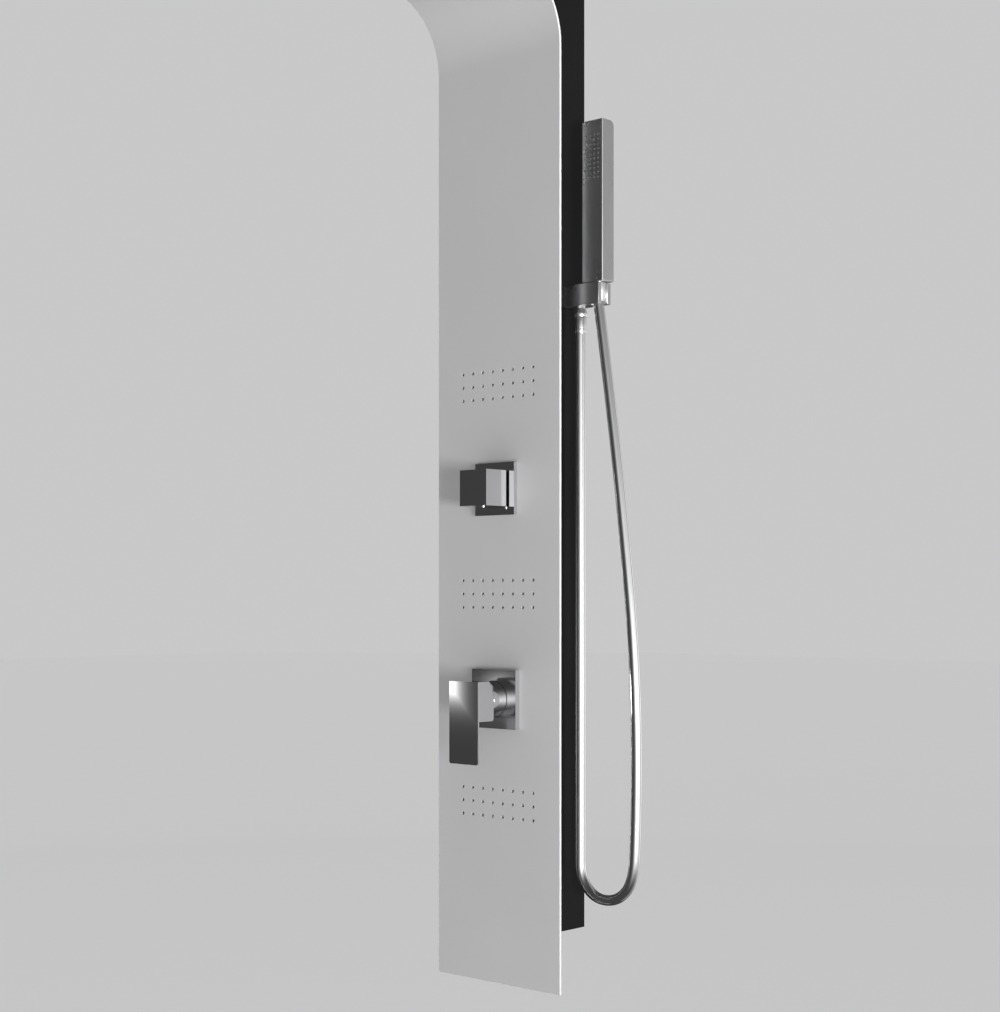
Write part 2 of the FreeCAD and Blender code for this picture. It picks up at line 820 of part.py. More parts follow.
def spray_grid():
    for column in range(spray_columns):
        for row in range(spray_rows):
            yield (seat_x + (column - (spray_columns - 1) / 2) * spray_pitch[0],
                   panel_bottom + spray_middle + (row - (spray_rows - 1) / 2) * spray_pitch[1])


def handset_shell():
    """Square stick, rounded at its upper back, with the spray holes in its front face."""
    low = panel_bottom + handset_foot
    high = panel_bottom + handset_top
    sides = (seat_x - handset_half, seat_x + handset_half)
    wall = handset_wall
    shape = box(sides, handset_y, (low, high))
    shape = round_over(shape, handset_rounding,
                       lambda way, at: abs(way.x) > 0.9 and at.y > handset_y[1] - 1 and at.z > high - 1)
    shape = ease(shape, 0.5, lambda way, at: at.y < handset_y[0] + 0.1)
    hollow = box((sides[0] + wall, sides[1] - wall), (handset_y[0] + wall, handset_y[1] - wall),
                 (low + 3, high - 6))
    cuts = [hollow, true_rod(connector_radius, V(seat_x, pipe_y, low - 1), V(seat_x, pipe_y, low + 4))]
    for x, z in spray_grid():
        cuts.append(prism(4, spray_hole, V(x, handset_y[0] - 1, z), V(x, handset_y[0] + wall + 0.5, z)))
    return shape.cut(cuts)


def spray_nozzles():
    """Silicone mat inside the handset; its tips stand just proud of the face."""
    inside = handset_y[0] + handset_wall
    middle = panel_bottom + spray_middle
    half_z = spray_rows * spray_pitch[1] / 2 + 2
    shapes = [box((seat_x - 13, seat_x + 13), (inside, inside + 1.5), (middle - half_z, middle + half_z))]
    for x, z in spray_grid():
        shapes.append(prism(4, spray_tip, V(x, inside + 0.5, z), V(x, handset_y[0] - 0.5, z)))
    return join(shapes)


def handset_waterway():
    """Inner pipe from the connector up to a water box behind the spray mat."""
    near = handset_y[0] + handset_wall + 1.5
    middle = panel_bottom + spray_middle
    half_z = spray_rows * spray_pitch[1] / 2 + 2
    foot = panel_bottom + handset_foot + 10
    chamber = box((seat_x - 13, seat_x + 13), (near, handset_y[1] - 4), (middle - half_z, middle + half_z))
    hollow = box((seat_x - 11, seat_x + 11), (near - 1, handset_y[1] - 6), (middle - half_z + 2, middle + half_z - 2))
    way = rod(5.5, V(seat_x, pipe_y, foot), V(seat_x, pipe_y, middle - half_z))
    bore = rod(3.5, V(seat_x, pipe_y, foot - 1), V(seat_x, pipe_y, middle - half_z + 3))
    return join([chamber, way]).cut([hollow, bore])


def handset_connector():
    """Threaded tail that stands out of the handset's foot into the hose's nut."""
    foot = panel_bottom + handset_foot
    low = V(seat_x, pipe_y, panel_bottom + cone_washer + 1.5)
    tail = true_rod(connector_radius, low, V(seat_x, pipe_y, foot + 10))
    flange = down(seat_x, 8.8, handset_foot + 10, handset_foot + 3)
    return join([tail, flange]).cut(down(seat_x, 3.5, handset_foot + 11, cone_washer))


# ---- Everything, one file per piece ---------------------------------------------------------

os.makedirs("parts", exist_ok=True)

pieces = {
    "front_panel": front_panel(),
    "chassis": chassis(),
    "overhead_cover": overhead_cover(),
    "panel_nuts": panel_nuts(),
    "wall_bracket_lower": wall_bracket(0.0),
    "wall_bracket_upper": wall_bracket(upper_wall_bracket),
    "hanger_bar_lower": hanger_bar(0.0),
    "hanger_bar_upper": hanger_bar(upper_wall_bracket),
    "rain_nozzles": rain_mat(),
    "rain_chamber": rain_chamber(),
    "mixer_body": mixer_body(),
    "inlet_tail_hot": inlet_tail(-1),
    "inlet_tail_cold": inlet_tail(1),
    "inlet_check_valves": check_valves(),
    "mixer_cartridge": mixer_cartridge(),
    "cartridge_nut": cartridge_nut(),
    "mixer_sleeve": mixer_sleeve(),
    "mixer_plate": mixer_plate(),
    "mixer_plate_seal": plate_seal(),
    "cartridge_spindle": cartridge_spindle(),
    "lever_pin": lever_pin(),
    "lever_stem": lever_stem(),
    "handle": handle(),
    "handle_grub_screw": grub_screw(2.5, handle_screw_y, mixer_z - 17, mixer_z - 4),
    "diverter_body": diverter_body(),
    "diverter_cartridge": diverter_cartridge(),
    "diverter_plate": diverter_plate(),
    "diverter_stem": diverter_stem(),
    "diverter_knob": diverter_knob(),
    "knob_grub_screw": grub_screw(2.3, grub_y, diverter_z - knob_half + 0.6, diverter_z - stem_radius),
    "feed_pipe": feed_pipe(),
    "jet_riser": jet_riser(),
    "rain_pipe": rain_pipe(),
    "handset_pipe": handset_pipe(),
    "outlet_bracket": outlet_bracket(),
    "bracket_nut": bracket_nut(),
    "outlet_nipple": outlet_nipple(),
    "hose_washer": hose_washer(),
    "hose_nut": hose_nut(),
    "hose_sleeve": hose_sleeve(),
    "hose": hose(),
    "hose_cone_nut": cone_nut(),
    "handset_washer": handset_washer(),
    "handset_shell": handset_shell(),
    "handset_nozzles": spray_nozzles(),
    "handset_waterway": handset_waterway(),
    "handset_connector": handset_connector(),
}
for level, height in jet_heights.items():
    pieces["jet_nozzles_" + level] = jet_mat(panel_bottom + height)
    pieces["jet_manifold_" + level] = jet_manifold(panel_bottom + height)

for name, shape in pieces.items():
    save(name, shape)
print(len(pieces), "pieces")
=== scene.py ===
"""Shower panel column: a bent satin metal panel on a black wall chassis, with body jets, an overhead spray,
a single-lever mixer, a diverter knob and a stick handset on a smooth bright hose.

Metres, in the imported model's frame: +Z is up, the wall is the plane Y = 0, -Y points into the room.
"""

import math

import bmesh
import bpy
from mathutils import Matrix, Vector


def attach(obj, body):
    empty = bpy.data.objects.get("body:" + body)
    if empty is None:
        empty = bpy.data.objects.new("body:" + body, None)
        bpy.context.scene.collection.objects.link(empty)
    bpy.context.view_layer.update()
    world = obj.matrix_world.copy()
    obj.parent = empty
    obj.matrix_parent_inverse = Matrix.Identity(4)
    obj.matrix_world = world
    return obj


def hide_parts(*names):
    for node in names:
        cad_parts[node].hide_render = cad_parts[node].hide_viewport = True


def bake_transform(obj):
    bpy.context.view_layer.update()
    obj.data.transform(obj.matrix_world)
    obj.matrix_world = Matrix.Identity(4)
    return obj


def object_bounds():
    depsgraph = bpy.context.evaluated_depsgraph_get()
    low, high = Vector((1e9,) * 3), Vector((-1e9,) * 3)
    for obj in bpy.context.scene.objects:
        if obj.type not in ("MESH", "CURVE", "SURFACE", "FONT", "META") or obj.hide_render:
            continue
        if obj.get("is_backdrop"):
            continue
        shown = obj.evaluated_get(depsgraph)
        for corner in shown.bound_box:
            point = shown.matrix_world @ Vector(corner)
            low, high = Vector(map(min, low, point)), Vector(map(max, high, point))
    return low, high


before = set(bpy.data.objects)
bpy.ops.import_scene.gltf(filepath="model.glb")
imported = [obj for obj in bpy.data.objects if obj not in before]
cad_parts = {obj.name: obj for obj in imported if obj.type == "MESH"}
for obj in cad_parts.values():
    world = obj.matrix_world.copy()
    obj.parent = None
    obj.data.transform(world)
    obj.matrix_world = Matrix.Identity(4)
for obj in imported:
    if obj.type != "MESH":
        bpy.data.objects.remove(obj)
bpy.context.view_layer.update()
scene = bpy.context.scene
scene.view_settings.view_transform = "Standard"

# ---- Camera ---------------------------------------------------------------------------------------------
# A level camera about 42 degrees to the right of the panel's normal, at the height of the middle jets.
# It was fitted to the body jets and to the panel's straight edges.

camera = bpy.data.objects.new("camera", bpy.data.cameras.new("camera"))
camera.data.lens = 63.04
camera.data.sensor_width = 36.0
camera.data.sensor_fit = "AUTO"
camera.data.shift_y = 0.0915
camera.location = (1.4610, -1.6545, 0.3292)
camera.rotation_euler = (math.radians(90), 0, math.radians(42.413))
camera.data.clip_end = 40.0
scene.collection.objects.link(camera)
scene.camera = camera

# ---- Hose -----------------------------------------------------------------------------------------------
# A smooth bright metal-covered shower hose, 12.5 mm thick. It hangs from the bracket's outlet in one long
# loop and comes back up to the conical nut under the handset.

PANEL_FOOT = -0.140       # Z of the panel's lower edge
HOSE_Y = -0.0265          # of the plane that the hose hangs in
HOSE_RADIUS = 0.00625
HOSE_SIDES = 32
HOSE_STEP = 0.0025        # least distance between two rings of the tube
SAME_PLACE = 1e-5
OUTLET_X = 0.104
HOSE_START = 0.7854       # heights above the panel's lower edge
HOSE_END = 0.8193
hose_route = [            # X and height of the loop's control points
    (OUTLET_X, HOSE_START), (OUTLET_X, 0.1717), (OUTLET_X, 0.1355), (0.1274, 0.1124), (0.1618, 0.1142),
    (0.1845, 0.1391), (0.1877, 0.1976), (0.1892, 0.3010), (0.1844, 0.4198), (0.1707, 0.5454),
    (0.1526, 0.6855), (0.1319, HOSE_END),
]


def line_through(name, points):
    """Points along the smooth spline that has these control points."""
    data = bpy.data.curves.new(name, "CURVE")
    data.dimensions = "3D"
    data.resolution_u = 24
    spline = data.splines.new("NURBS")
    spline.points.add(len(points) - 1)
    for point, place in zip(spline.points, points):
        point.co = (*place, 1.0)
    spline.order_u = 3
    spline.use_endpoint_u = True
    curve = bpy.data.objects.new(name, data)
    scene.collection.objects.link(curve)
    bpy.context.view_layer.update()
    mesh = bpy.data.meshes.new_from_object(curve.evaluated_get(bpy.context.evaluated_depsgraph_get()))
    places = [vertex.co.copy() for vertex in mesh.vertices]
    bpy.data.objects.remove(curve)
    bpy.data.meshes.remove(mesh)
    even = [places[0]]
    for place in places[1:]:
        if (place - even[-1]).length > HOSE_STEP:
            even.append(place)
    if (places[-1] - even[-1]).length > SAME_PLACE:
        even.append(places[-1])
    return even


def new_piece(name, shape, smooth_below=35.0):
    """A mesh object from a bmesh; edges flatter than the angle shade smooth."""
    bmesh.ops.recalc_face_normals(shape, faces=shape.faces[:])
    mesh = bpy.data.meshes.new(name)
    shape.to_mesh(mesh)
    shape.free()
    mesh.shade_smooth()
    mesh.set_sharp_from_angle(angle=math.radians(smooth_below))
    piece = bpy.data.objects.new(name, mesh)
    scene.collection.objects.link(piece)
    return piece


def circle(shape, middle, across, other, radius, sides):
    """A ring of vertices in the plane of two directions at right angles."""
    turns = [2 * math.pi * k / sides for k in range(sides)]
    return [shape.verts.new(middle + (across * math.cos(t) + other * math.sin(t)) * radius) for t in turns]


def round_tube(name, path, radius, sides, side=(0, 1, 0)):
    """A closed round tube along the path's points; side is a direction that the path never takes."""
    shape = bmesh.new()
    side = Vector(side)
    rows = []
    for i, place in enumerate(path):
        way = (path[min(i + 1, len(path) - 1)] - path[max(i - 1, 0)]).normalized()
        across = (side - way * side.dot(way)).normalized()
        rows.append(circle(shape, place, across, way.cross(across), radius, sides))
    for row, further in zip(rows, rows[1:]):
        for k in range(sides):
            shape.faces.new((row[k], row[(k + 1) % sides], further[(k + 1) % sides], further[k]))
    shape.faces.new(rows[0])
    shape.faces.new(rows[-1])
    return new_piece(name, shape)


hose_path = line_through("hose_line", [(x, HOSE_Y, PANEL_FOOT + height) for x, height in hose_route])
hose = round_tube("hose_tube", hose_path, HOSE_RADIUS, HOSE_SIDES)
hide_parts("hose")
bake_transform(hose)


def surface(name, base, metallic, roughness):
    """A material with its shader; the caller adds the grain or wear of its finish."""
    material = bpy.data.materials.new(name)
    material.use_nodes = True
    shader = material.node_tree.nodes["Principled BSDF"]
    shader.inputs["Base Color"].default_value = (*base, 1.0)
    shader.inputs["Metallic"].default_value = metallic
    shader.inputs["Roughness"].default_value = roughness
    return material, shader


def noise_in(material, scale, detail=3.0, stretch=(1.0, 1.0, 1.0)):
    """Noise over the piece in metres; stretch below 1 draws it out along that axis."""
    nodes, links = material.node_tree.nodes, material.node_tree.links
    place = nodes.new("ShaderNodeTexCoord")
    mapping = nodes.new("ShaderNodeMapping")
    mapping.inputs["Scale"].default_value = stretch
    links.new(place.outputs["Object"], mapping.inputs["Vector"])
    noise = nodes.new("ShaderNodeTexNoise")
    noise.inputs["Scale"].default_value = scale
    noise.inputs["Detail"].default_value = detail
    links.new(mapping.outputs["Vector"], noise.inputs["Vector"])
    return noise.outputs["Fac"]


NOISE_SPREAD = 0.25       # the noise seldom goes further from its middle, 0.5


def drive(material, factor, socket, low, high):
    """Lets a noise factor move a shader socket between two values or two colours."""
    nodes, links = material.node_tree.nodes, material.node_tree.links
    if isinstance(low, tuple):
        ramp = nodes.new("ShaderNodeValToRGB")
        for stop, place, color in zip(ramp.color_ramp.elements, (-NOISE_SPREAD, NOISE_SPREAD), (low, high)):
            stop.position = 0.5 + place
            stop.color = (*color, 1.0)
        links.new(factor, ramp.inputs["Fac"])
        links.new(ramp.outputs["Color"], socket)
        return
    scaled = nodes.new("ShaderNodeMapRange")
    scaled.inputs["From Min"].default_value = 0.5 - NOISE_SPREAD
    scaled.inputs["From Max"].default_value = 0.5 + NOISE_SPREAD
    scaled.inputs["To Min"].default_value = low
    scaled.inputs["To Max"].default_value = high
    links.new(factor, scaled.inputs["Value"])
    links.new(scaled.outputs["Result"], socket)


def relief(material, shader, factor, depth):
    """Fine relief of the given depth in metres."""
    nodes, links = material.node_tree.nodes, material.node_tree.links
    bump = nodes.new("ShaderNodeBump")
    bump.inputs["Distance"].default_value = depth
    bump.inputs["Strength"].default_value = 1.0
    links.new(factor, bump.inputs["Height"])
    links.new(bump.outputs["Normal"], shader.inputs["Normal"])


def polished_chrome(name, base=(0.68, 0.68, 0.69), smooth=0.045, worn=0.10):
    """Plated brass, polished, with the faint haze that wiping leaves."""
    material, shader = surface(name, base, 1.0, smooth)
    drive(material, noise_in(material, 34.0, 4.0), shader.inputs["Roughness"], smooth, worn)
    dull = tuple(part * 0.96 for part in base)
    drive(material, noise_in(material, 11.0), shader.inputs["Base Color"], dull, base)
    return material


hose_metal = polished_chrome("bright_hose", (0.74, 0.74, 0.75), 0.12, 0.17)


def coat(pieces, material):
    """Gives pieces or carried-over nodes their material."""
    for piece in pieces:
        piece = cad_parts[piece] if isinstance(piece, str) else piece
        piece.data.materials.clear()
        piece.data.materials.append(material)
        piece.data.polygons.foreach_set("material_index", [0] * len(piece.data.polygons))


coat([hose], hose_metal)

# ---- Studio ---------------------------------------------------------------------------------------------
# A plain pale floor under the wall-hung column, and soft light from the right, the front and below. One
# round screen that only polished metal sees stands round it: dark at the left, bright at the right front.

FLOOR_Z = -0.90
PALE = (0.58, 0.58, 0.585)
WORLD_LIGHT = 0.62        # what the world gives the object, against what the camera sees of it
FLOOR_LIFT = 0.58         # brings the floor up to the world's tone, for the camera alone


def sums(owner, operation, first, second=None):
    """One arithmetic node of a material or world; each input is a number or another node's output."""
    node = owner.node_tree.nodes.new("ShaderNodeMath")
    node.operation = operation
    for i, value in enumerate(v for v in (first, second) if v is not None):
        if isinstance(value, (int, float)):
            node.inputs[i].default_value = value
        else:
            owner.node_tree.links.new(value, node.inputs[i])
    return node.outputs["Value"]


world = bpy.data.worlds.new("studio")
scene.world = world
world.use_nodes = True
world_nodes, world_links = world.node_tree.nodes, world.node_tree.links
ambient = world_nodes["Background"]
ambient.inputs["Color"].default_value = (*PALE, 1.0)
ambient.inputs["Strength"].default_value = WORLD_LIGHT
seen = world_nodes.new("ShaderNodeBackground")
seen.inputs["Color"].default_value = (*PALE, 1.0)
seen.inputs["Strength"].default_value = 1.0
ray = world_nodes.new("ShaderNodeLightPath")
camera_or_glossy = sums(world, "MAXIMUM", ray.outputs["Is Camera Ray"], ray.outputs["Is Glossy Ray"])
any_seen = sums(world, "MAXIMUM", camera_or_glossy, ray.outputs["Is Transmission Ray"])
mixed = world_nodes.new("ShaderNodeMixShader")
world_links.new(any_seen, mixed.inputs["Fac"])
world_links.new(ambient.outputs["Background"], mixed.inputs[1])
world_links.new(seen.outputs["Background"], mixed.inputs[2])
world_links.new(mixed.outputs["Shader"], world_nodes["World Output"].inputs["Surface"])

floor_shape = bmesh.new()
bmesh.ops.create_grid(floor_shape, x_segments=1, y_segments=1, size=30.0)
floor = new_piece("studio_floor", floor_shape)
floor.location.z = FLOOR_Z
floor_paint, floor_shader = surface("pale_floor", (0.60, 0.60, 0.605), 0.0, 0.9)
floor_shader.inputs["Specular IOR Level"].default_value = 0.1
floor_shader.inputs["Emission Color"].default_value = (*PALE, 1.0)
floor_seen = floor_paint.node_tree.nodes.new("ShaderNodeLightPath")
floor_lift = sums(floor_paint, "MULTIPLY", floor_seen.outputs["Is Camera Ray"], FLOOR_LIFT)
floor_paint.node_tree.links.new(floor_lift, floor_shader.inputs["Emission Strength"])
coat([floor], floor_paint)
floor.visible_glossy = False
floor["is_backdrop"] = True


def only_in_metal(card):
    """A studio card that nothing but a reflection shows."""
    card.visible_camera = False
    card.visible_diffuse = False
    card.visible_shadow = False
    card.visible_transmission = False
    card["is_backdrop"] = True


SCREEN_RADIUS = 7.0
SCREEN_MIDDLE = -0.10
SCREEN_FADE = 0.366       # height over which the bright part fades, against the radius
DARK = 0.065
screen_shape = bmesh.new()
bmesh.ops.create_uvsphere(screen_shape, u_segments=96, v_segments=48, radius=SCREEN_RADIUS)
screen = new_piece("studio_screen", screen_shape)
screen.location.z = SCREEN_MIDDLE
screen_paint, screen_shader = surface("screen", (0.0, 0.0, 0.0), 0.0, 1.0)
screen_shader.inputs["Specular IOR Level"].default_value = 0.0
place = screen_paint.node_tree.nodes.new("ShaderNodeTexCoord")
parts = screen_paint.node_tree.nodes.new("ShaderNodeSeparateXYZ")
screen_paint.node_tree.links.new(place.outputs["Object"], parts.inputs["Vector"])
forward = sums(screen_paint, "MULTIPLY", parts.outputs["Y"], -1.0)
angle = sums(screen_paint, "ARCTAN2", parts.outputs["X"], forward)
turn = sums(screen_paint, "ADD", sums(screen_paint, "MULTIPLY", angle, 0.5 / math.pi), 0.5)


def around(stops):
    """A level that follows the angle to the right of the front. The ramp holds half of it: it ends at 1."""
    ramp = screen_paint.node_tree.nodes.new("ShaderNodeValToRGB")
    screen_paint.node_tree.links.new(turn, ramp.inputs["Fac"])
    for i, (degrees, level) in enumerate(stops):
        position = (degrees + 180) / 360
        stop = ramp.color_ramp.elements[0] if i == 0 else ramp.color_ramp.elements.new(position)
        stop.position = position
        stop.color = (level / 2, level / 2, level / 2, 1.0)
    ramp.color_ramp.elements.remove(ramp.color_ramp.elements[-1])
    return sums(screen_paint, "MULTIPLY", ramp.outputs["Color"], 2.0)


behind = around([(-180, 0.30), (-160, DARK), (110, DARK), (132, 0.30), (146, 0.30), (170, 0.30)])
window = around([(-180, 1.2), (-172, 0.0), (-20, 0.0), (-2, 0.05), (13, 0.20), (24, 0.75), (37, 1.38),
                 (124, 1.38), (132, 0.0), (146, 0.0), (152, 1.2)])
height = sums(screen_paint, "DIVIDE", parts.outputs["Z"], SCREEN_RADIUS * SCREEN_FADE)
squared = sums(screen_paint, "MULTIPLY", height, height)
falling = sums(screen_paint, "EXPONENT", sums(screen_paint, "MULTIPLY", squared, -1.0))
level = sums(screen_paint, "ADD", sums(screen_paint, "MULTIPLY", window, falling), behind)
screen_shader.inputs["Emission Color"].default_value = (1.0, 1.0, 1.0, 1.0)
screen_paint.node_tree.links.new(level, screen_shader.inputs["Emission Strength"])
coat([screen], screen_paint)
only_in_metal(screen)


def glow_card(name, middle, low, high, fall, level):
    """A small glowing card parallel to the panel; it fades to the right of its middle and below it."""
    shape = bmesh.new()
    corners = ((low[0], low[1]), (high[0], low[1]), (high[0], high[1]), (low[0], high[1]))
    shape.faces.new([shape.verts.new((x, 0.0, z)) for x, z in corners])
    card = new_piece(name, shape)
    card.location = middle
    paint = bpy.data.materials.new(name)
    paint.use_nodes = True
    nodes, links = paint.node_tree.nodes, paint.node_tree.links
    nodes.remove(nodes["Principled BSDF"])
    spot = nodes.new("ShaderNodeTexCoord")
    split = nodes.new("ShaderNodeSeparateXYZ")
    links.new(spot.outputs["Object"], split.inputs["Vector"])
    most = sums(paint, "MAXIMUM", sums(paint, "DIVIDE", split.outputs["X"], fall[0]),
                sums(paint, "DIVIDE", split.outputs["Z"], -fall[1]))
    most = sums(paint, "MAXIMUM", most, 0.0)
    strength = sums(paint, "MULTIPLY", sums(paint, "EXPONENT", sums(paint, "MULTIPLY", most, -1.0)), level)
    glow = nodes.new("ShaderNodeEmission")
    clear = nodes.new("ShaderNodeBsdfTransparent")
    both = nodes.new("ShaderNodeAddShader")
    links.new(strength, glow.inputs["Strength"])
    links.new(glow.outputs["Emission"], both.inputs[0])
    links.new(clear.outputs["BSDF"], both.inputs[1])
    links.new(both.outputs["Shader"], nodes["Material Output"].inputs["Surface"])
    coat([card], paint)
    only_in_metal(card)


glow_card("studio_lever_glow", middle=(-0.3836, -0.5036, 0.1877), low=(-0.0210, -0.080), high=(0.053, 0.0180),
          fall=(0.0112, 0.0116), level=1.78)


def soft_lamp(name, place, aim, size, power, glints=True, spread=180):
    """A rectangular lamp that no camera sees; without glints polished metal doesn't show it either."""
    lamp = bpy.data.objects.new(name, bpy.data.lights.new(name, "AREA"))
    lamp.data.shape = "RECTANGLE"
    lamp.data.size, lamp.data.size_y = size
    lamp.data.energy = power
    lamp.data.spread = math.radians(spread)
    lamp.location = place
    lamp.rotation_euler = (Vector(aim) - Vector(place)).to_track_quat("-Z", "Y").to_euler()
    lamp.visible_camera = False
    lamp.visible_glossy = glints
    scene.collection.objects.link(lamp)


soft_lamp("side_lamp", (5.10, -2.12, -0.25), (0.0, -0.06, 1.00), (2.2, 1.0), 38.0, spread=60)
soft_lamp("front_lamp", (1.75, -2.70, 0.30), (0.0, -0.06, 0.45), (1.4, 1.2), 10.0, False)
soft_lamp("low_lamp", (0.40, -2.40, -0.86), (0.40, -2.40, 2.0), (5.0, 4.4), 62.0, False)

# ---- Front panel ----------------------------------------------------------------------------------------
# One 3 mm sheet, 200 mm wide, bent forward over the user. Satin, with a fine grain along its length.
# Round jet holes are punched through it, and six studs on its back hold it to the chassis.

PANEL_HALF = 0.100
SHEET = 0.003
PANEL_FRONT = -0.060
PANEL_BACK = PANEL_FRONT + SHEET
BEND_RADIUS = 0.090
BEND_Z = PANEL_FOOT + 1.125
BEND_Y = PANEL_FRONT - BEND_RADIUS
REACH = 0.420
OVERHEAD = BEND_Z + BEND_RADIUS        # Z of the overhead's lower face
JET_PITCH = 0.0165
JET_COLUMNS, JET_ROWS = 8, 3
JET_HEIGHTS = {"lower": 0.2195, "middle": 0.4750, "upper": 0.7305}
RAIN_Y = -0.325
JET_HOLE = 0.0019         # radii of the punched holes
MIXER_HOLE = 0.023
DIVERTER_HOLE = 0.0155
PANEL_EASE = 0.0004       # rounding of the sheet's edges; the studs start as far inside it
STUD_RADIUS = 0.0025
STUD_LENGTH = 0.009
STUD_X = 0.076
STUD_HEIGHTS = (0.110, 0.548, 1.060)
PAST = 0.001              # by which a cutting tool stands out of what it cuts
MIXER_Z = PANEL_FOOT + 0.347
DIVERTER_Z = PANEL_FOOT + 0.6026


def along_x(shape, outline, low, high):
    """Adds a prism across X with a (Y, Z) outline."""
    ends = [[shape.verts.new((x, y, z)) for y, z in outline] for x in (low, high)]
    shape.faces.new(ends[0])
    shape.faces.new(ends[1])
    for i in range(len(outline)):
        j = (i + 1) % len(outline)
        shape.faces.new((ends[0][i], ends[0][j], ends[1][j], ends[1][i]))


def turned(shape, profile, start, way, sides):
    """Adds a turned solid. The profile is a closed outline of (radius, distance along the way)."""
    start, way = Vector(start), Vector(way).normalized()
    across = way.orthogonal().normalized()
    rings = []
    for radius, distance in profile:
        middle = start + way * distance
        if radius == 0:
            rings.append([shape.verts.new(middle)] * sides)
        else:
            rings.append(circle(shape, middle, across, way.cross(across), radius, sides))
    for ring, further in zip(rings, rings[1:] + rings[:1]):
        for k in range(sides):
            corners = []
            for corner in (ring[k], ring[(k + 1) % sides], further[(k + 1) % sides], further[k]):
                if corner not in corners:
                    corners.append(corner)
            if len(corners) > 2:
                shape.faces.new(corners)


def rod(shape, radius, start, end, sides=24):
    """Adds a plain round rod between two places."""
    way = Vector(end) - Vector(start)
    turned(shape, [(0, 0), (radius, 0), (radius, way.length), (0, way.length)], start, way, sides)


def arc(centre, radius, start, end, steps):
    """Points of an arc in a flat outline; angles in degrees."""
    turns = [math.radians(start + (end - start) * i / steps) for i in range(steps + 1)]
    return [(centre[0] + radius * math.cos(t), centre[1] + radius * math.sin(t)) for t in turns]


def settle(piece):
    """Applies the piece's modifiers to its mesh."""
    mesh = bpy.data.meshes.new_from_object(piece.evaluated_get(bpy.context.evaluated_depsgraph_get()))
    piece.modifiers.clear()
    piece.data = mesh


def cut(piece, tool_shape):
    """Cuts the tool's solids out of the piece."""
    tool = new_piece(piece.name + "_tool", tool_shape)
    boolean = piece.modifiers.new("cut", "BOOLEAN")
    boolean.operation = "DIFFERENCE"
    boolean.solver = "EXACT"
    boolean.object = tool
    bpy.context.view_layer.update()
    settle(piece)
    bpy.data.objects.remove(tool)


def ease(piece, width, segments=2, sharper_than=30.0, even=True):
    """Rounds the edges sharper than the angle by a small width; even keeps the big faces' shading flat."""
    bevel = piece.modifiers.new("edges", "BEVEL")
    bevel.width = width
    bevel.segments = segments
    bevel.limit_method = "ANGLE"
    bevel.angle_limit = math.radians(sharper_than)
    bevel.miter_outer = "MITER_ARC"
    piece.data.shade_smooth()
    if even:
        normals = piece.modifiers.new("normals", "WEIGHTED_NORMAL")
        normals.weight = 100
        normals.keep_sharp = True


def keep_flat(piece):
    """Shades the eased edges smooth and leaves every face that lies square to an axis exactly flat."""
    shape = bmesh.new()
    shape.from_mesh(piece.data)
    for face in shape.faces:
        face.smooth = True
    for edge in shape.edges:
        edge.smooth = not any(max(abs(part) for part in face.normal) > 0.9999 for face in edge.link_faces)
    shape.to_mesh(piece.data)
    shape.free()


def jet_grid(middle):
    """Centres of a jet array, as X and height or depth."""
    across, up = (JET_COLUMNS - 1) / 2, (JET_ROWS - 1) / 2
    for column in range(JET_COLUMNS):
        for row in range(JET_ROWS):
            yield (column - across) * JET_PITCH, middle + (row - up) * JET_PITCH


panel_outline = (
    [(PANEL_FRONT, PANEL_FOOT)]
    + arc((BEND_Y, BEND_Z), BEND_RADIUS, 0, 90, 40)
    + [(-REACH, OVERHEAD), (-REACH, OVERHEAD + SHEET)]
    + arc((BEND_Y, BEND_Z), BEND_RADIUS + SHEET, 90, 0, 40)
    + [(PANEL_BACK, PANEL_FOOT)]
)
panel_shape = bmesh.new()
along_x(panel_shape, panel_outline, -PANEL_HALF, PANEL_HALF)
panel = new_piece("panel_sheet", panel_shape, 20.0)
holes = bmesh.new()
for height in JET_HEIGHTS.values():
    for x, z in jet_grid(PANEL_FOOT + height):
        rod(holes, JET_HOLE, (x, PANEL_FRONT - PAST, z), (x, PANEL_BACK + PAST, z))
for x, y in jet_grid(RAIN_Y):
    rod(holes, JET_HOLE, (x, y, OVERHEAD - PAST), (x, y, OVERHEAD + SHEET + PAST))
for radius, z in ((MIXER_HOLE, MIXER_Z), (DIVERTER_HOLE, DIVERTER_Z)):
    rod(holes, radius, (0, PANEL_FRONT - PAST, z), (0, PANEL_BACK + PAST, z), 48)
cut(panel, holes)
ease(panel, PANEL_EASE, 2, even=False)
settle(panel)
studs = bmesh.new()
studs.from_mesh(panel.data)
for x in (-STUD_X, STUD_X):
    for height in STUD_HEIGHTS:
        z = PANEL_FOOT + height
        rod(studs, STUD_RADIUS, (x, PANEL_BACK - PANEL_EASE, z), (x, PANEL_BACK + STUD_LENGTH, z))
studs.to_mesh(panel.data)
studs.free()
panel.data.shade_smooth()
panel.data.set_sharp_from_angle(angle=math.radians(20))
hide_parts("front_panel")
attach(panel, "root")


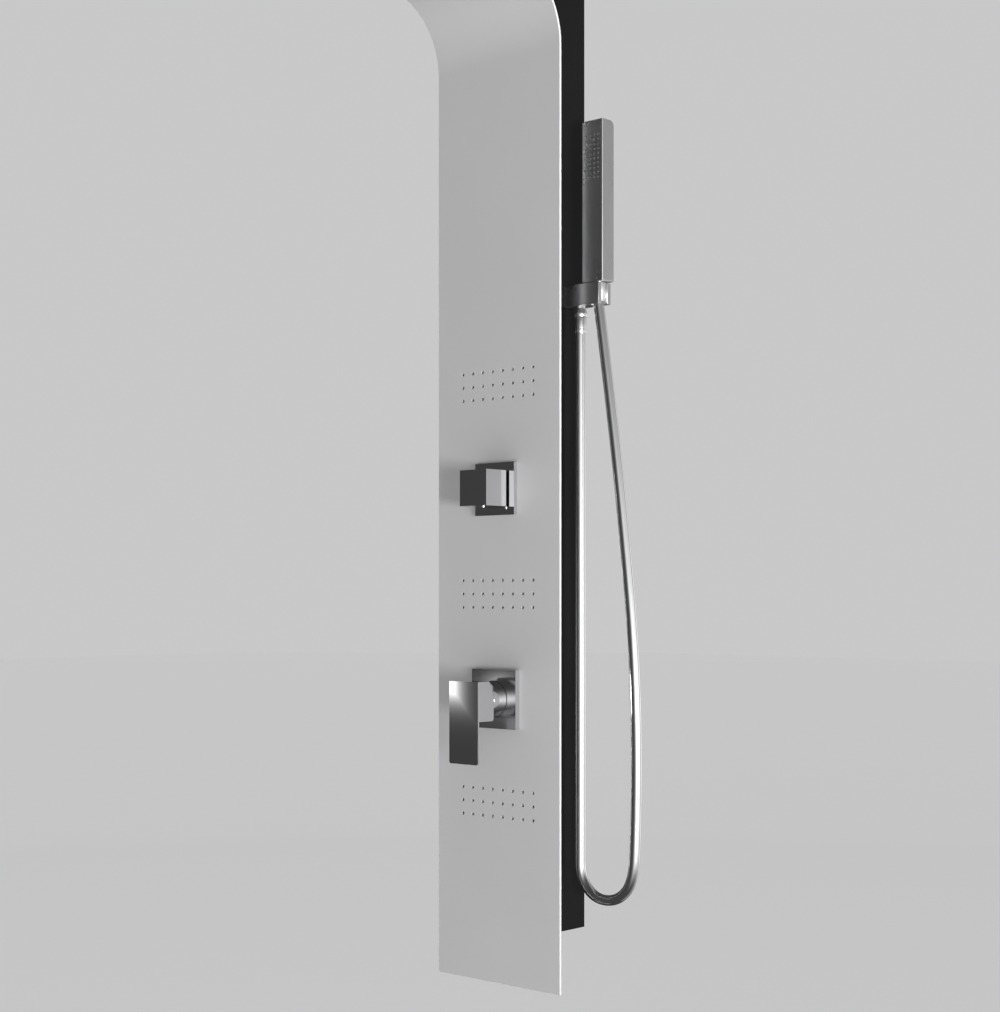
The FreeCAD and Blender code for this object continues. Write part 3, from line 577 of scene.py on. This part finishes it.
def satin_panel():
    """Satin metal: the grain follows the sheet's length round its bend, so it runs on Z minus Y."""
    dull, bright = (0.430, 0.430, 0.435), (0.442, 0.442, 0.448)
    material, shader = surface("satin_panel", bright, 0.03, 0.5)
    nodes, links = material.node_tree.nodes, material.node_tree.links
    place = nodes.new("ShaderNodeTexCoord")
    parts = nodes.new("ShaderNodeSeparateXYZ")
    sheet = nodes.new("ShaderNodeCombineXYZ")
    links.new(place.outputs["Object"], parts.inputs["Vector"])
    links.new(parts.outputs["X"], sheet.inputs["X"])
    links.new(sums(material, "SUBTRACT", parts.outputs["Z"], parts.outputs["Y"]), sheet.inputs["Y"])
    scale = nodes.new("ShaderNodeMapping")
    scale.inputs["Scale"].default_value = (1.0, 0.012, 1.0)
    links.new(sheet.outputs["Vector"], scale.inputs["Vector"])
    grain = nodes.new("ShaderNodeTexNoise")
    grain.inputs["Scale"].default_value = 2600.0
    grain.inputs["Detail"].default_value = 4.0
    links.new(scale.outputs["Vector"], grain.inputs["Vector"])
    cloud = nodes.new("ShaderNodeTexNoise")
    cloud.inputs["Scale"].default_value = 7.0
    cloud.inputs["Detail"].default_value = 2.0
    links.new(sheet.outputs["Vector"], cloud.inputs["Vector"])
    shader.inputs["Specular IOR Level"].default_value = 0.2
    drive(material, grain.outputs["Fac"], shader.inputs["Roughness"], 0.45, 0.55)
    drive(material, cloud.outputs["Fac"], shader.inputs["Base Color"], dull, bright)
    relief(material, shader, grain.outputs["Fac"], 0.000004)
    return material


def lit_edge_painted():
    """Painted light: the sheet's two long edges, painted much brighter than its face to stand for the side
    lamp's light falling across them.
    """
    material, shader = surface("lit_edge_painted", (0.80, 0.80, 0.80), 0.0, 0.4)
    drive(material, noise_in(material, 900.0, 3.0, (1.0, 1.0, 0.05)), shader.inputs["Roughness"], 0.35, 0.5)
    return material


coat([panel], satin_panel())
# The two long edges get the brighter edge colour: painted light from the side lamp.
panel.data.materials.append(lit_edge_painted())
for face in panel.data.polygons:
    if abs(face.normal.x) > 0.5 and abs(face.center.x) > PANEL_HALF - 0.001:      # the sheet's two long edges
        face.material_index = 1

# ---- Chassis and overhead cover -------------------------------------------------------------------------
# Folded 1.5 mm steel behind the panel, open towards the wall, with sides that follow the bend, and the
# shallow cover on the overhead sheet. Both are powder coated satin black. Six nuts hold the panel to it.


def black_coat():
    """Satin black powder coat with a fine orange peel."""
    material, shader = surface("black_coat", (0.005, 0.005, 0.0055), 0.0, 0.24)
    shader.inputs["Specular IOR Level"].default_value = 0.2
    peel = noise_in(material, 1400.0, 2.0)
    relief(material, shader, peel, 0.00002)
    drive(material, noise_in(material, 9.0), shader.inputs["Roughness"], 0.20, 0.28)
    return material


def zinc_steel():
    """Zinc-plated steel, slightly clouded."""
    material, shader = surface("zinc_steel", (0.50, 0.50, 0.51), 1.0, 0.34)
    cloud = noise_in(material, 60.0, 4.0)
    drive(material, cloud, shader.inputs["Base Color"], (0.42, 0.42, 0.43), (0.56, 0.56, 0.57))
    drive(material, noise_in(material, 220.0), shader.inputs["Roughness"], 0.28, 0.45)
    return material


steel = zinc_steel()
coat(["chassis", "overhead_cover"], black_coat())
coat(["panel_nuts"], steel)
for node, width in (("chassis", 0.0004), ("overhead_cover", 0.0006), ("panel_nuts", 0.0003)):
    ease(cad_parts[node], width, 1, even=False)

# ---- Wall brackets --------------------------------------------------------------------------------------
# Two folded steel strips screwed to the wall, with an upturned hook, and the two flat bars across the
# chassis that drop behind the hooks.

for node in ("wall_bracket_lower", "wall_bracket_upper", "hanger_bar_lower", "hanger_bar_upper"):
    coat([node], steel)
    ease(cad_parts[node], 0.0004, 2)

# ---- Jets -----------------------------------------------------------------------------------------------
# Soft silicone mats behind the sheet, with one small tip recessed in each hole, and the moulded water
# boxes that feed them. The overhead array is the same, with its water box under the black cover.

MAT = 0.002
MAT_HALF = (0.062, 0.022, 0.030)      # half its width, and half its height behind the panel and overhead
JET_TIP = 0.0014
TIP_DEPTH = 0.0017        # of the tip's end behind the sheet's face
TIP_ROOT = 0.0005         # of the tip inside its mat
TIP_LENGTH = SHEET + TIP_ROOT - TIP_DEPTH


def silicone(name, base):
    """Soft moulded silicone."""
    material, shader = surface(name, base, 0.0, 0.5)
    shader.inputs["Specular IOR Level"].default_value = 0.4
    relief(material, shader, noise_in(material, 900.0, 2.0), 0.00002)
    drive(material, noise_in(material, 120.0), shader.inputs["Roughness"], 0.45, 0.6)
    return material


def moulded(name, base):
    """Moulded plastic with a faint spark texture."""
    material, shader = surface(name, base, 0.0, 0.45)
    relief(material, shader, noise_in(material, 1800.0, 3.0), 0.00003)
    dull = tuple(part * 0.94 for part in base)
    drive(material, noise_in(material, 14.0), shader.inputs["Base Color"], dull, base)
    return material


def block(shape, x, y, z):
    """Adds a box between pairs of values."""
    box = [shape.verts.new((a, b, c)) for a in x for b in y for c in z]
    for quad in ((0, 1, 3, 2), (4, 6, 7, 5), (0, 4, 5, 1), (2, 3, 7, 6), (0, 2, 6, 4), (1, 5, 7, 3)):
        shape.faces.new([box[i] for i in quad])


QUARTER = (0.0, 0.52, 1.05, 1.57)     # steps of a rounded rim, in radians


def nozzle(shape, place, way, radius, length):
    """A round tip with a rounded rim and a fine spray hole."""
    rim, hole, floor_at = radius * 0.25, radius * 0.38, length - 0.0006
    rims = [(radius - rim + rim * math.cos(t), length - rim + rim * math.sin(t)) for t in QUARTER]
    turned(shape, [(0, 0), (radius, 0)] + rims + [(hole, length), (hole, floor_at), (0, floor_at)],
           place, way, 16)


# The jet tips are black silicone, painted darker still to stand for the shade inside the jet holes.
jet_silicone_painted_shade = silicone("jet_silicone_painted_shade", (0.014, 0.014, 0.015))
water_box = moulded("water_box", (0.55, 0.55, 0.53))
for level, height in JET_HEIGHTS.items():
    mats = bmesh.new()
    middle = PANEL_FOOT + height
    block(mats, (-MAT_HALF[0], MAT_HALF[0]), (PANEL_BACK, PANEL_BACK + MAT),
          (middle - MAT_HALF[1], middle + MAT_HALF[1]))
    for x, z in jet_grid(middle):
        nozzle(mats, (x, PANEL_BACK + TIP_ROOT, z), (0, -1, 0), JET_TIP, TIP_LENGTH)
    tips = new_piece("jet_tips_" + level, mats)
    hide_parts("jet_nozzles_" + level)
    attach(tips, "root")
    coat([tips], jet_silicone_painted_shade)
    coat(["jet_manifold_" + level], water_box)
    ease(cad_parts["jet_manifold_" + level], 0.0008, 2)
mats = bmesh.new()
block(mats, (-MAT_HALF[0], MAT_HALF[0]), (RAIN_Y - MAT_HALF[2], RAIN_Y + MAT_HALF[2]),
      (OVERHEAD + SHEET, OVERHEAD + SHEET + MAT))
for x, y in jet_grid(RAIN_Y):
    nozzle(mats, (x, y, OVERHEAD + SHEET + TIP_ROOT), (0, 0, -1), JET_TIP, TIP_LENGTH)
tips = new_piece("rain_tips", mats)
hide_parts("rain_nozzles")
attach(tips, "root")
coat([tips], jet_silicone_painted_shade)
coat(["rain_chamber"], water_box)

# ---- Pipes behind the panel -----------------------------------------------------------------------------
# Drawn 12 mm stainless tube, pushed into the valves' ports: from the mixer up to the diverter, and from it
# to the overhead, the jets and the handset.

PIPE_RADIUS = 0.006
PIPE_SIDES = 24
PIPE_BEND = 0.030
PIPE_Y = -0.0265
RISER_X = -0.055
BRANCH_RADIUS = PIPE_RADIUS * 0.98
HANDSET_PIPE_X = 0.050
HANDSET_PIPE_Z = 0.690
RAIN_PIPE_Z = OVERHEAD + SHEET + MAT + 0.00925


def bent(corners, radius):
    """Straight runs with round bends at the corners."""
    places = [Vector(corners[0])]
    for before, corner, after in zip(corners, corners[1:], corners[2:]):
        before, corner, after = Vector(before), Vector(corner), Vector(after)
        way_in, way_out = (corner - before).normalized(), (after - corner).normalized()
        half = way_in.angle(way_out) / 2
        back = min(radius * math.tan(half), 0.48 * (corner - before).length, 0.48 * (after - corner).length)
        start, end = corner - way_in * back, corner + way_out * back
        for t in (i / 12 for i in range(13)):
            places.append(start * (1 - t) ** 2 + corner * (2 * t * (1 - t)) + end * t ** 2)
    places.append(Vector(corners[-1]))
    return places


def drawn_tube():
    """Drawn stainless tube with lengthwise streaks."""
    material, shader = surface("drawn_tube", (0.55, 0.55, 0.55), 1.0, 0.28)
    streaks = noise_in(material, 500.0, 3.0, (1.0, 1.0, 0.02))
    drive(material, streaks, shader.inputs["Roughness"], 0.22, 0.38)
    return material


tube_steel = drawn_tube()
for node, corners in {
    "feed_pipe": [(0, PIPE_Y, MIXER_Z + 0.028), (0, PIPE_Y, DIVERTER_Z - 0.024)],
    "rain_pipe": [(0, PIPE_Y, DIVERTER_Z + 0.024), (0, PIPE_Y, RAIN_PIPE_Z - 0.040),
                  (0, PIPE_Y - 0.040, RAIN_PIPE_Z), (0, RAIN_Y + 0.028, RAIN_PIPE_Z)],
    "handset_pipe": [(0.024, PIPE_Y, DIVERTER_Z), (HANDSET_PIPE_X, PIPE_Y, DIVERTER_Z),
                     (HANDSET_PIPE_X, PIPE_Y, HANDSET_PIPE_Z), (0.074, PIPE_Y, HANDSET_PIPE_Z)],
}.items():
    side = (0, 1, 0) if node == "handset_pipe" else (1, 0, 0)
    tube = round_tube(node + "_tube", bent(corners, PIPE_BEND), PIPE_RADIUS, PIPE_SIDES, side)
    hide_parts(node)
    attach(tube, "root")
    coat([tube], tube_steel)
riser = bmesh.new()
low, high = PANEL_FOOT + JET_HEIGHTS["lower"] - 0.009, PANEL_FOOT + JET_HEIGHTS["upper"] + 0.009
rod(riser, PIPE_RADIUS, (RISER_X, PIPE_Y, low), (RISER_X, PIPE_Y, high))
for height in JET_HEIGHTS.values():
    z = PANEL_FOOT + height
    rod(riser, BRANCH_RADIUS, (RISER_X, PIPE_Y, z), (RISER_X, -0.038, z))
rod(riser, BRANCH_RADIUS, (RISER_X, PIPE_Y, DIVERTER_Z), (-0.024, PIPE_Y, DIVERTER_Z))
riser_tube = new_piece("jet_riser_tube", riser)
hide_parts("jet_riser")
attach(riser_tube, "root")
coat([riser_tube], tube_steel)

# ---- Mixer valve ----------------------------------------------------------------------------------------
# A brass barrel through the chassis, with two inlet legs and threaded tails below for the supply hoses
# and an outlet above. The cartridge, its nut and its turning collar sit in the neck under the bright sleeve.

LEG_X = 0.020
LEG_Y = -0.024
LEG_FOOT = MIXER_Z - 0.038
LEG_LENGTH = 0.035
NECK_BACK = -0.057        # Y where the necks of both valves begin
TAIL_BORE = 0.007
THREAD_RADIUS = 0.01048
THREAD_ROOT = THREAD_RADIUS - 0.0009
THREAD_PITCH = 0.001814
THREAD_START, THREAD_END = 0.0085, 0.0225


def cast_brass():
    """Raw brass: a fine cast skin with slow changes of tone."""
    material, shader = surface("cast_brass", (0.55, 0.40, 0.18), 1.0, 0.36)
    skin = noise_in(material, 420.0, 4.0)
    relief(material, shader, skin, 0.00004)
    tone = noise_in(material, 25.0)
    drive(material, tone, shader.inputs["Base Color"], (0.46, 0.32, 0.13), (0.60, 0.44, 0.20))
    drive(material, skin, shader.inputs["Roughness"], 0.30, 0.44)
    return material


brass = cast_brass()
white_plastic = moulded("white_plastic", (0.60, 0.60, 0.58))


def eased_drum(radius, length, edge):
    """Outline of a plain drum with rounded rims, from its axis."""
    rims = [(radius - edge + edge * math.sin(t), edge - edge * math.cos(t)) for t in QUARTER]
    return [(0, 0)] + rims + [(r, length - d) for r, d in reversed(rims)] + [(0, length)]


def port(radius, length, bore, rim=0.0008):
    """Outline of a round port with an eased rim and a 7 mm deep bore, from its axis."""
    return [(0, 0), (radius, 0), (radius, length - rim), (radius - 0.0008, length), (bore, length),
            (bore, length - 0.007), (0, length - 0.007)]


barrel = bmesh.new()
turned(barrel, eased_drum(0.027, 0.045, 0.002), (0, -0.012, MIXER_Z), (0, -1, 0), 64)
turned(barrel, [(0, 0), (0.0204, 0), (0.0204, 0.017), (0.0176, 0.017), (0.0176, 0.012), (0, 0.012)],
       (0, NECK_BACK, MIXER_Z), (0, -1, 0), 48)
turned(barrel, [(0, 0), (0.0115, 0), (0.0115, 0.0015), (0, 0.0015)], (0, -0.0108, MIXER_Z), (0, -1, 0), 32)
for x in (-LEG_X, LEG_X):
    turned(barrel, port(0.0115, LEG_LENGTH, 0.0085, 0.001), (x, LEG_Y, LEG_FOOT + LEG_LENGTH), (0, 0, -1), 32)
turned(barrel, port(0.009, 0.036, PIPE_RADIUS), (0, PIPE_Y, MIXER_Z), (0, 0, 1), 32)
valve = new_piece("mixer_valve", barrel)
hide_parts("mixer_body")
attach(valve, "root")
coat([valve], brass)
for x, name in ((-LEG_X, "hot"), (LEG_X, "cold")):
    tail = bmesh.new()
    foot = (x, LEG_Y, LEG_FOOT)
    collar = [(TAIL_BORE, -0.006), (0.0085, -0.006), (0.0085, 0.0001), (TAIL_BORE, 0.0001)]
    turned(tail, collar, foot, (0, 0, -1), 32)
    hexagon = [(TAIL_BORE, 0), (0.0130, 0), (0.01386, 0.0006), (0.01386, 0.0074), (0.0130, 0.008),
               (TAIL_BORE, 0.008)]
    turned(tail, hexagon, foot, (0, 0, -1), 6)
    threads = [(TAIL_BORE, 0.0079)]
    distance = THREAD_START
    while distance < THREAD_END:
        threads += [(THREAD_ROOT, distance), (THREAD_RADIUS, distance + 0.4 * THREAD_PITCH),
                    (THREAD_RADIUS, distance + 0.6 * THREAD_PITCH)]
        distance += THREAD_PITCH
    threads += [(THREAD_ROOT, distance), (THREAD_ROOT, 0.024), (TAIL_BORE, 0.024)]
    turned(tail, threads, foot, (0, 0, -1), 40)
    threaded = new_piece("inlet_thread_" + name, tail, 25.0)
    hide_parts("inlet_tail_" + name)
    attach(threaded, "root")
    coat([threaded], brass)
coat(["inlet_check_valves", "mixer_cartridge"], white_plastic)
coat(["cartridge_nut", "cartridge_spindle", "lever_stem"], brass)
coat(["lever_pin"], steel)

# ---- Mixer trim and lever -------------------------------------------------------------------------------
# A square polished plate on the panel, a black seal, the bright round sleeve, and the lever: a block on
# the cartridge's stem with a thin plate in front that hangs down. All chromium plated.

trim_chrome = polished_chrome("trim_chrome", smooth=0.06, worn=0.09)
lever_chrome = polished_chrome("lever_chrome", smooth=0.02, worn=0.035)
knob_chrome = polished_chrome("knob_chrome", smooth=0.12, worn=0.16)
rubber, rubber_shader = surface("black_rubber", (0.015, 0.015, 0.015), 0.0, 0.6)
relief(rubber, rubber_shader, noise_in(rubber, 700.0), 0.00003)
drive(rubber, noise_in(rubber, 90.0), rubber_shader.inputs["Roughness"], 0.5, 0.7)
SLEEVE_RADIUS = 0.0218
SLEEVE_BORE = 0.0205
SLEEVE_LENGTH = 0.024
SLEEVE_MOUTH = 0.015
SLEEVE_RIM = 0.0005
SLEEVE_Y = -0.0655        # of the sleeve's and the seal's wall side
SEAL = 0.0008


def square_plate(name, half, depth, z, hole):
    """A square wall plate with a round hole."""
    shape = bmesh.new()
    block(shape, (-half, half), (PANEL_FRONT - depth, PANEL_FRONT), (z - half, z + half))
    plate = new_piece(name, shape)
    bore = bmesh.new()
    rod(bore, hole, (0, PANEL_FRONT + PAST, z), (0, PANEL_FRONT - depth - PAST, z), 64)
    cut(plate, bore)
    plate.data.shade_flat()
    return plate


mixer_square = square_plate("mixer_square_plate", 0.036, 0.007, MIXER_Z, SLEEVE_RADIUS + SEAL)
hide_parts("mixer_plate")
sleeve_shape = bmesh.new()
sleeve_profile = (
    [(SLEEVE_BORE, 0), (SLEEVE_RADIUS, 0)]
    + [(SLEEVE_RADIUS - SLEEVE_RIM + SLEEVE_RIM * math.cos(t),
        SLEEVE_LENGTH - SLEEVE_RIM + SLEEVE_RIM * math.sin(t)) for t in (0, 0.4, 0.8, 1.2, 1.57)]
    + [(SLEEVE_MOUTH + 0.0003, SLEEVE_LENGTH), (SLEEVE_MOUTH, SLEEVE_LENGTH - 0.0003), (SLEEVE_MOUTH, 0.0225),
       (SLEEVE_BORE, 0.0225)]
)
turned(sleeve_shape, sleeve_profile, (0, SLEEVE_Y, MIXER_Z), (0, -1, 0), 96)
sleeve = new_piece("mixer_round_sleeve", sleeve_shape)
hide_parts("mixer_sleeve")
for piece in (mixer_square, sleeve):
    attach(piece, "root")
coat([mixer_square, sleeve], knob_chrome)
seal_shape = bmesh.new()
seal_profile = [(SLEEVE_RADIUS, 0), (SLEEVE_RADIUS + SEAL, 0), (SLEEVE_RADIUS + SEAL, 0.0013),
                (SLEEVE_RADIUS + 0.0005, 0.0015), (SLEEVE_RADIUS, 0.0015)]
turned(seal_shape, seal_profile, (0, SLEEVE_Y, MIXER_Z), (0, -1, 0), 96)
seal = new_piece("mixer_seal_ring", seal_shape)
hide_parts("mixer_plate_seal")
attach(seal, "root")
coat([seal], rubber)

LEVER_HALF = 0.02365
LEVER_FRONT = -0.120
LEVER_SHEET = 0.0023
LEVER_TOP = MIXER_Z + 0.023
LEVER_FOOT = MIXER_Z - 0.076
LEVER_CORNER = 0.003      # radius of the hanging plate's lower corners and the block's lower edge
BLOCK_FOOT = MIXER_Z - 0.0245
BLOCK_BACK = -0.0925
LEVER_SCREW = (0.0025, -0.099)        # radius and Y of the grub screw's way
lever_outline = (                     # Y and Z, down the relieved back to the hanging plate
    [(LEVER_FRONT, LEVER_FOOT), (LEVER_FRONT, LEVER_TOP), (-0.1017, LEVER_TOP), (-0.1004, LEVER_TOP - 0.0003),
     (-0.0991, LEVER_TOP - 0.0013), (-0.0979, LEVER_TOP - 0.0036), (-0.0965, LEVER_TOP - 0.0068),
     (-0.0949, LEVER_TOP - 0.0105), (-0.0936, LEVER_TOP - 0.0142), (-0.0928, LEVER_TOP - 0.0172),
     (BLOCK_BACK, LEVER_TOP - 0.0192)]
    + arc((BLOCK_BACK - LEVER_CORNER, BLOCK_FOOT + LEVER_CORNER), LEVER_CORNER, 0, -90, 6)
    + [(LEVER_FRONT + LEVER_SHEET, BLOCK_FOOT), (LEVER_FRONT + LEVER_SHEET, LEVER_FOOT)]
)
lever_shape = bmesh.new()
along_x(lever_shape, lever_outline, -LEVER_HALF, LEVER_HALF)
foot_corners = [edge for edge in lever_shape.edges
                if all(abs(v.co.z - LEVER_FOOT) < SAME_PLACE for v in edge.verts)
                and abs(edge.verts[0].co.x - edge.verts[1].co.x) < SAME_PLACE]
bmesh.ops.bevel(lever_shape, geom=foot_corners, offset=LEVER_CORNER, segments=6, affect="EDGES", profile=0.5)
lever = new_piece("lever_casting", lever_shape)
screw_way = bmesh.new()
rod(screw_way, LEVER_SCREW[0], (0, LEVER_SCREW[1], BLOCK_FOOT - PAST), (0, LEVER_SCREW[1], MIXER_Z - 0.008))
cut(lever, screw_way)
lever.data.shade_smooth()
lever.data.set_sharp_from_angle(angle=math.radians(32))
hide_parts("handle")
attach(lever, "mixer_lever")
coat([lever], lever_chrome)
bright_screw = polished_chrome("bright_screw", (0.85, 0.85, 0.85), 0.10, 0.20)
coat(["handle_grub_screw"], bright_screw)

# ---- Diverter -------------------------------------------------------------------------------------------
# A brass body with four ports behind the panel, a square polished plate, and a square solid knob on a
# round stem, held by a grub screw underneath.

KNOB_HALF = 0.02175
KNOB_BACK = -0.0682
KNOB_FRONT = -0.1035
KNOB_SCREW_Y = -0.0855
KNOB_SCREW_PROUD = 0.0016

four_way = bmesh.new()
turned(four_way, eased_drum(0.022, 0.043, 0.002), (0, -0.014, DIVERTER_Z), (0, -1, 0), 64)
turned(four_way, [(0, 0), (0.014, 0), (0.014, 0.005), (0.011, 0.005), (0.011, 0.0045), (0, 0.0045)],
       (0, NECK_BACK, DIVERTER_Z), (0, -1, 0), 40)
for way in ((1, 0, 0), (-1, 0, 0), (0, 0, 1), (0, 0, -1)):
    turned(four_way, port(0.0085, 0.032, PIPE_RADIUS), (0, PIPE_Y, DIVERTER_Z), way, 32)
diverter_valve = new_piece("diverter_valve", four_way)
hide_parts("diverter_body")
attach(diverter_valve, "root")
coat([diverter_valve], brass)
coat(["diverter_cartridge"], white_plastic)
diverter_square = square_plate("diverter_square_plate", 0.032, 0.0053, DIVERTER_Z, 0.007)
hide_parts("diverter_plate")
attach(diverter_square, "root")
coat([diverter_square], trim_chrome)
coat(["diverter_stem"], polished_chrome("stem_chrome"))
screw = bmesh.new()
turned(screw, [(0, 0), (0.0017, 0), (0.0022, 0.0005), (0.0022, 0.0120), (0, 0.0120)],
       (0, KNOB_SCREW_Y, DIVERTER_Z - KNOB_HALF - KNOB_SCREW_PROUD), (0, 0, 1), 24)
knob_screw = new_piece("knob_bright_screw", screw)
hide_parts("knob_grub_screw")
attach(knob_screw, "diverter_control")
coat([knob_screw], bright_screw)
knob_shape = bmesh.new()
block(knob_shape, (-KNOB_HALF, KNOB_HALF), (KNOB_FRONT, KNOB_BACK),
      (DIVERTER_Z - KNOB_HALF, DIVERTER_Z + KNOB_HALF))
knob = new_piece("diverter_square_knob", knob_shape)
knob_bore = bmesh.new()
rod(knob_bore, 0.0023, (0, KNOB_SCREW_Y, DIVERTER_Z - KNOB_HALF - PAST),
    (0, KNOB_SCREW_Y, DIVERTER_Z - 0.006))
cut(knob, knob_bore)
knob.data.shade_flat()
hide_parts("diverter_knob")
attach(knob, "diverter_control")
coat([knob], knob_chrome)

# ---- Outlet bracket -------------------------------------------------------------------------------------
# A cast arm from the chassis's right side. It feeds the hose through an outlet underneath, and its
# forked end holds the hose's conical nut. Chromium plated.

ARM_Z = PANEL_FOOT + 0.830
ARM_HALF = 0.0125
ARM_Y = (-0.038, -0.015)
ARM_X = (0.088, 0.1409)
SEAT_X = 0.131
SEAT_LOW, SEAT_HIGH = 0.00823, 0.01007        # radii of the tapered seat
SLOT_HALF = 0.006
satin_chrome = polished_chrome("satin_chrome", smooth=0.26, worn=0.31)
arm_shape = bmesh.new()
block(arm_shape, ARM_X, ARM_Y, (ARM_Z - ARM_HALF, ARM_Z + ARM_HALF))
arm = new_piece("bracket_arm", arm_shape)
fork = bmesh.new()
turned(fork, [(0, -PAST), (SEAT_LOW, -PAST), (SEAT_HIGH, 0.026), (0, 0.026)],
       (SEAT_X, HOSE_Y, ARM_Z - ARM_HALF), (0, 0, 1), 64)
cut(arm, fork)
slot_tool = bmesh.new()
block(slot_tool, (SEAT_X + 0.003, ARM_X[1] + PAST), (HOSE_Y - SLOT_HALF, HOSE_Y + SLOT_HALF),
      (ARM_Z - ARM_HALF - PAST, ARM_Z + ARM_HALF + PAST))
cut(arm, slot_tool)
ease(arm, 0.0002, 2, 40.0, even=False)
settle(arm)
keep_flat(arm)
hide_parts("outlet_bracket")
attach(arm, "root")
coat([arm], satin_chrome)
spigot = bmesh.new()
turned(spigot, eased_drum(0.008, 0.0145, 0.0005), (0.0885, HOSE_Y, ARM_Z), (-1, 0, 0), 40)
spigot_piece = new_piece("bracket_spigot", spigot)
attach(spigot_piece, "root")
coat([spigot_piece, "bracket_nut"], brass)
ease(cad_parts["bracket_nut"], 0.0005, 2)

# ---- Hose fittings --------------------------------------------------------------------------------------
# The outlet's nipple and washer, the round nut with its tapered shoulder, the long crimped sleeve, and the
# conical swivel nut that carries the handset. Turned brass, chromium plated.

# The fittings' chrome is chrome painted brighter than the other chrome: a painted highlight that widens their
# bright band.
fitting_chrome_painted_bright = polished_chrome("fitting_chrome_painted_bright", (0.84, 0.84, 0.85), 0.22, 0.28)
# The conical nut's chrome is a still brighter copy, painted near white to stand for the bright reflections it
# catches.
cone_chrome_painted_white = polished_chrome("cone_chrome_painted_white", (0.92, 0.92, 0.92), 0.30, 0.36)


def fitting(name, node, profile, place, body):
    """A turned and plated piece on a vertical axis, in place of its node."""
    shape = bmesh.new()
    turned(shape, profile, place, (0, 0, 1), 64)
    piece = new_piece(name, shape)
    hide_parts(node)
    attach(piece, body)
    coat([piece], fitting_chrome_painted_bright)
    return piece


nut = fitting("hose_round_nut", "hose_nut",
              [(0.0055, 0), (0.0075, 0), (0.0079, 0.0003), (0.0081, 0.0008), (0.0081, 0.0042),
               (0.0080, 0.0047), (0.0078, 0.0051), (0.0065, 0.0102), (0.0063, 0.0105), (0.0055, 0.0105)],
              (OUTLET_X, HOSE_Y, PANEL_FOOT + 0.8049), "root")
crimp = fitting("hose_crimped_sleeve", "hose_sleeve",
                [(0.0035, 0), (0.0064, 0), (0.0068, 0.0003), (0.0070, 0.0008), (0.0070, 0.0040),
                 (0.0067, 0.0044), (0.0067, 0.0050), (0.0070, 0.0054), (0.0070, 0.0187), (0.0068, 0.0192),
                 (0.0064, 0.0195), (0.0035, 0.0195)],
                (OUTLET_X, HOSE_Y, PANEL_FOOT + HOSE_START), "root")
CONE_FOOT = 0.8205
CONE_LENGTH = 0.0223
cone = fitting("hose_conical_nut", "hose_cone_nut",
               [(0.0040, 0.0035), (0.0073, 0.0035), (0.0073, 0.0002), (0.0075, 0), (0.0079, 0),
                (0.0082, 0.0004), (0.00966, CONE_LENGTH - 0.0006), (0.0093, CONE_LENGTH),
                (0.0072, CONE_LENGTH), (0.0070, CONE_LENGTH - 0.0003), (0.0070, 0.0075), (0.0040, 0.0075)],
               (SEAT_X, HOSE_Y, PANEL_FOOT + CONE_FOOT), "hose_end")
# Painted highlight: the conical nut takes its near-white chrome copy.
coat([cone], cone_chrome_painted_white)
coat(["outlet_nipple"], fitting_chrome_painted_bright)
coat(["hose_washer", "handset_washer"], rubber)

# ---- Handset --------------------------------------------------------------------------------------------
# A slim square stick, satin chromium plated, rounded at its upper back and screwed to the conical nut.
# Forty fine silicone tips stand just proud of the upper half of its face, each in a hole of its own. The
# waterway and its threaded tail are inside.

STICK_HALF = 0.0155
STICK_Y = (-0.0375, -0.0155)
STICK_FOOT = PANEL_FOOT + 0.8435
STICK_TOP = PANEL_FOOT + 1.034
STICK_CORNER = 0.007
SPRAY_Z = PANEL_FOOT + 0.991
SPRAY_PITCH = (0.006, 0.00555)
SPRAY_HOLE = (0.0014, 0.002)          # radius and depth
SPRAY_TIP = (0.0011, 0.0022)          # radius and length
SPRAY_ROOT = 0.0019                   # depth of the tip's foot
stick_outline = (
    [(STICK_Y[0], STICK_FOOT), (STICK_Y[0], STICK_TOP)]
    + arc((STICK_Y[1] - STICK_CORNER, STICK_TOP - STICK_CORNER), STICK_CORNER, 90, 0, 12)
    + [(STICK_Y[1], STICK_FOOT)]
)
stick_shape = bmesh.new()
along_x(stick_shape, stick_outline, SEAT_X - STICK_HALF, SEAT_X + STICK_HALF)
stick = new_piece("handset_stick", stick_shape)
ease(stick, 0.0010, 3, 40.0)
settle(stick)
spray = [(SEAT_X + (column - 1.5) * SPRAY_PITCH[0], SPRAY_Z + (row - 4.5) * SPRAY_PITCH[1])
         for column in range(4) for row in range(10)]
spray_holes = bmesh.new()
for x, z in spray:
    rod(spray_holes, SPRAY_HOLE[0], (x, STICK_Y[0] - PAST, z), (x, STICK_Y[0] + SPRAY_HOLE[1], z), 20)
cut(stick, spray_holes)
keep_flat(stick)
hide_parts("handset_shell")
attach(stick, "handset")
coat([stick], satin_chrome)
tips_shape = bmesh.new()
for x, z in spray:
    nozzle(tips_shape, (x, STICK_Y[0] + SPRAY_ROOT, z), (0, -1, 0), *SPRAY_TIP)
spray_tips = new_piece("handset_spray_tips", tips_shape)
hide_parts("handset_nozzles")
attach(spray_tips, "handset")
coat([spray_tips], silicone("grey_silicone", (0.13, 0.13, 0.13)))
coat(["handset_waterway"], white_plastic)
coat(["handset_connector"], fitting_chrome_painted_bright)

# ---- Sizes ----------------------------------------------------------------------------------------------

low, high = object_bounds()
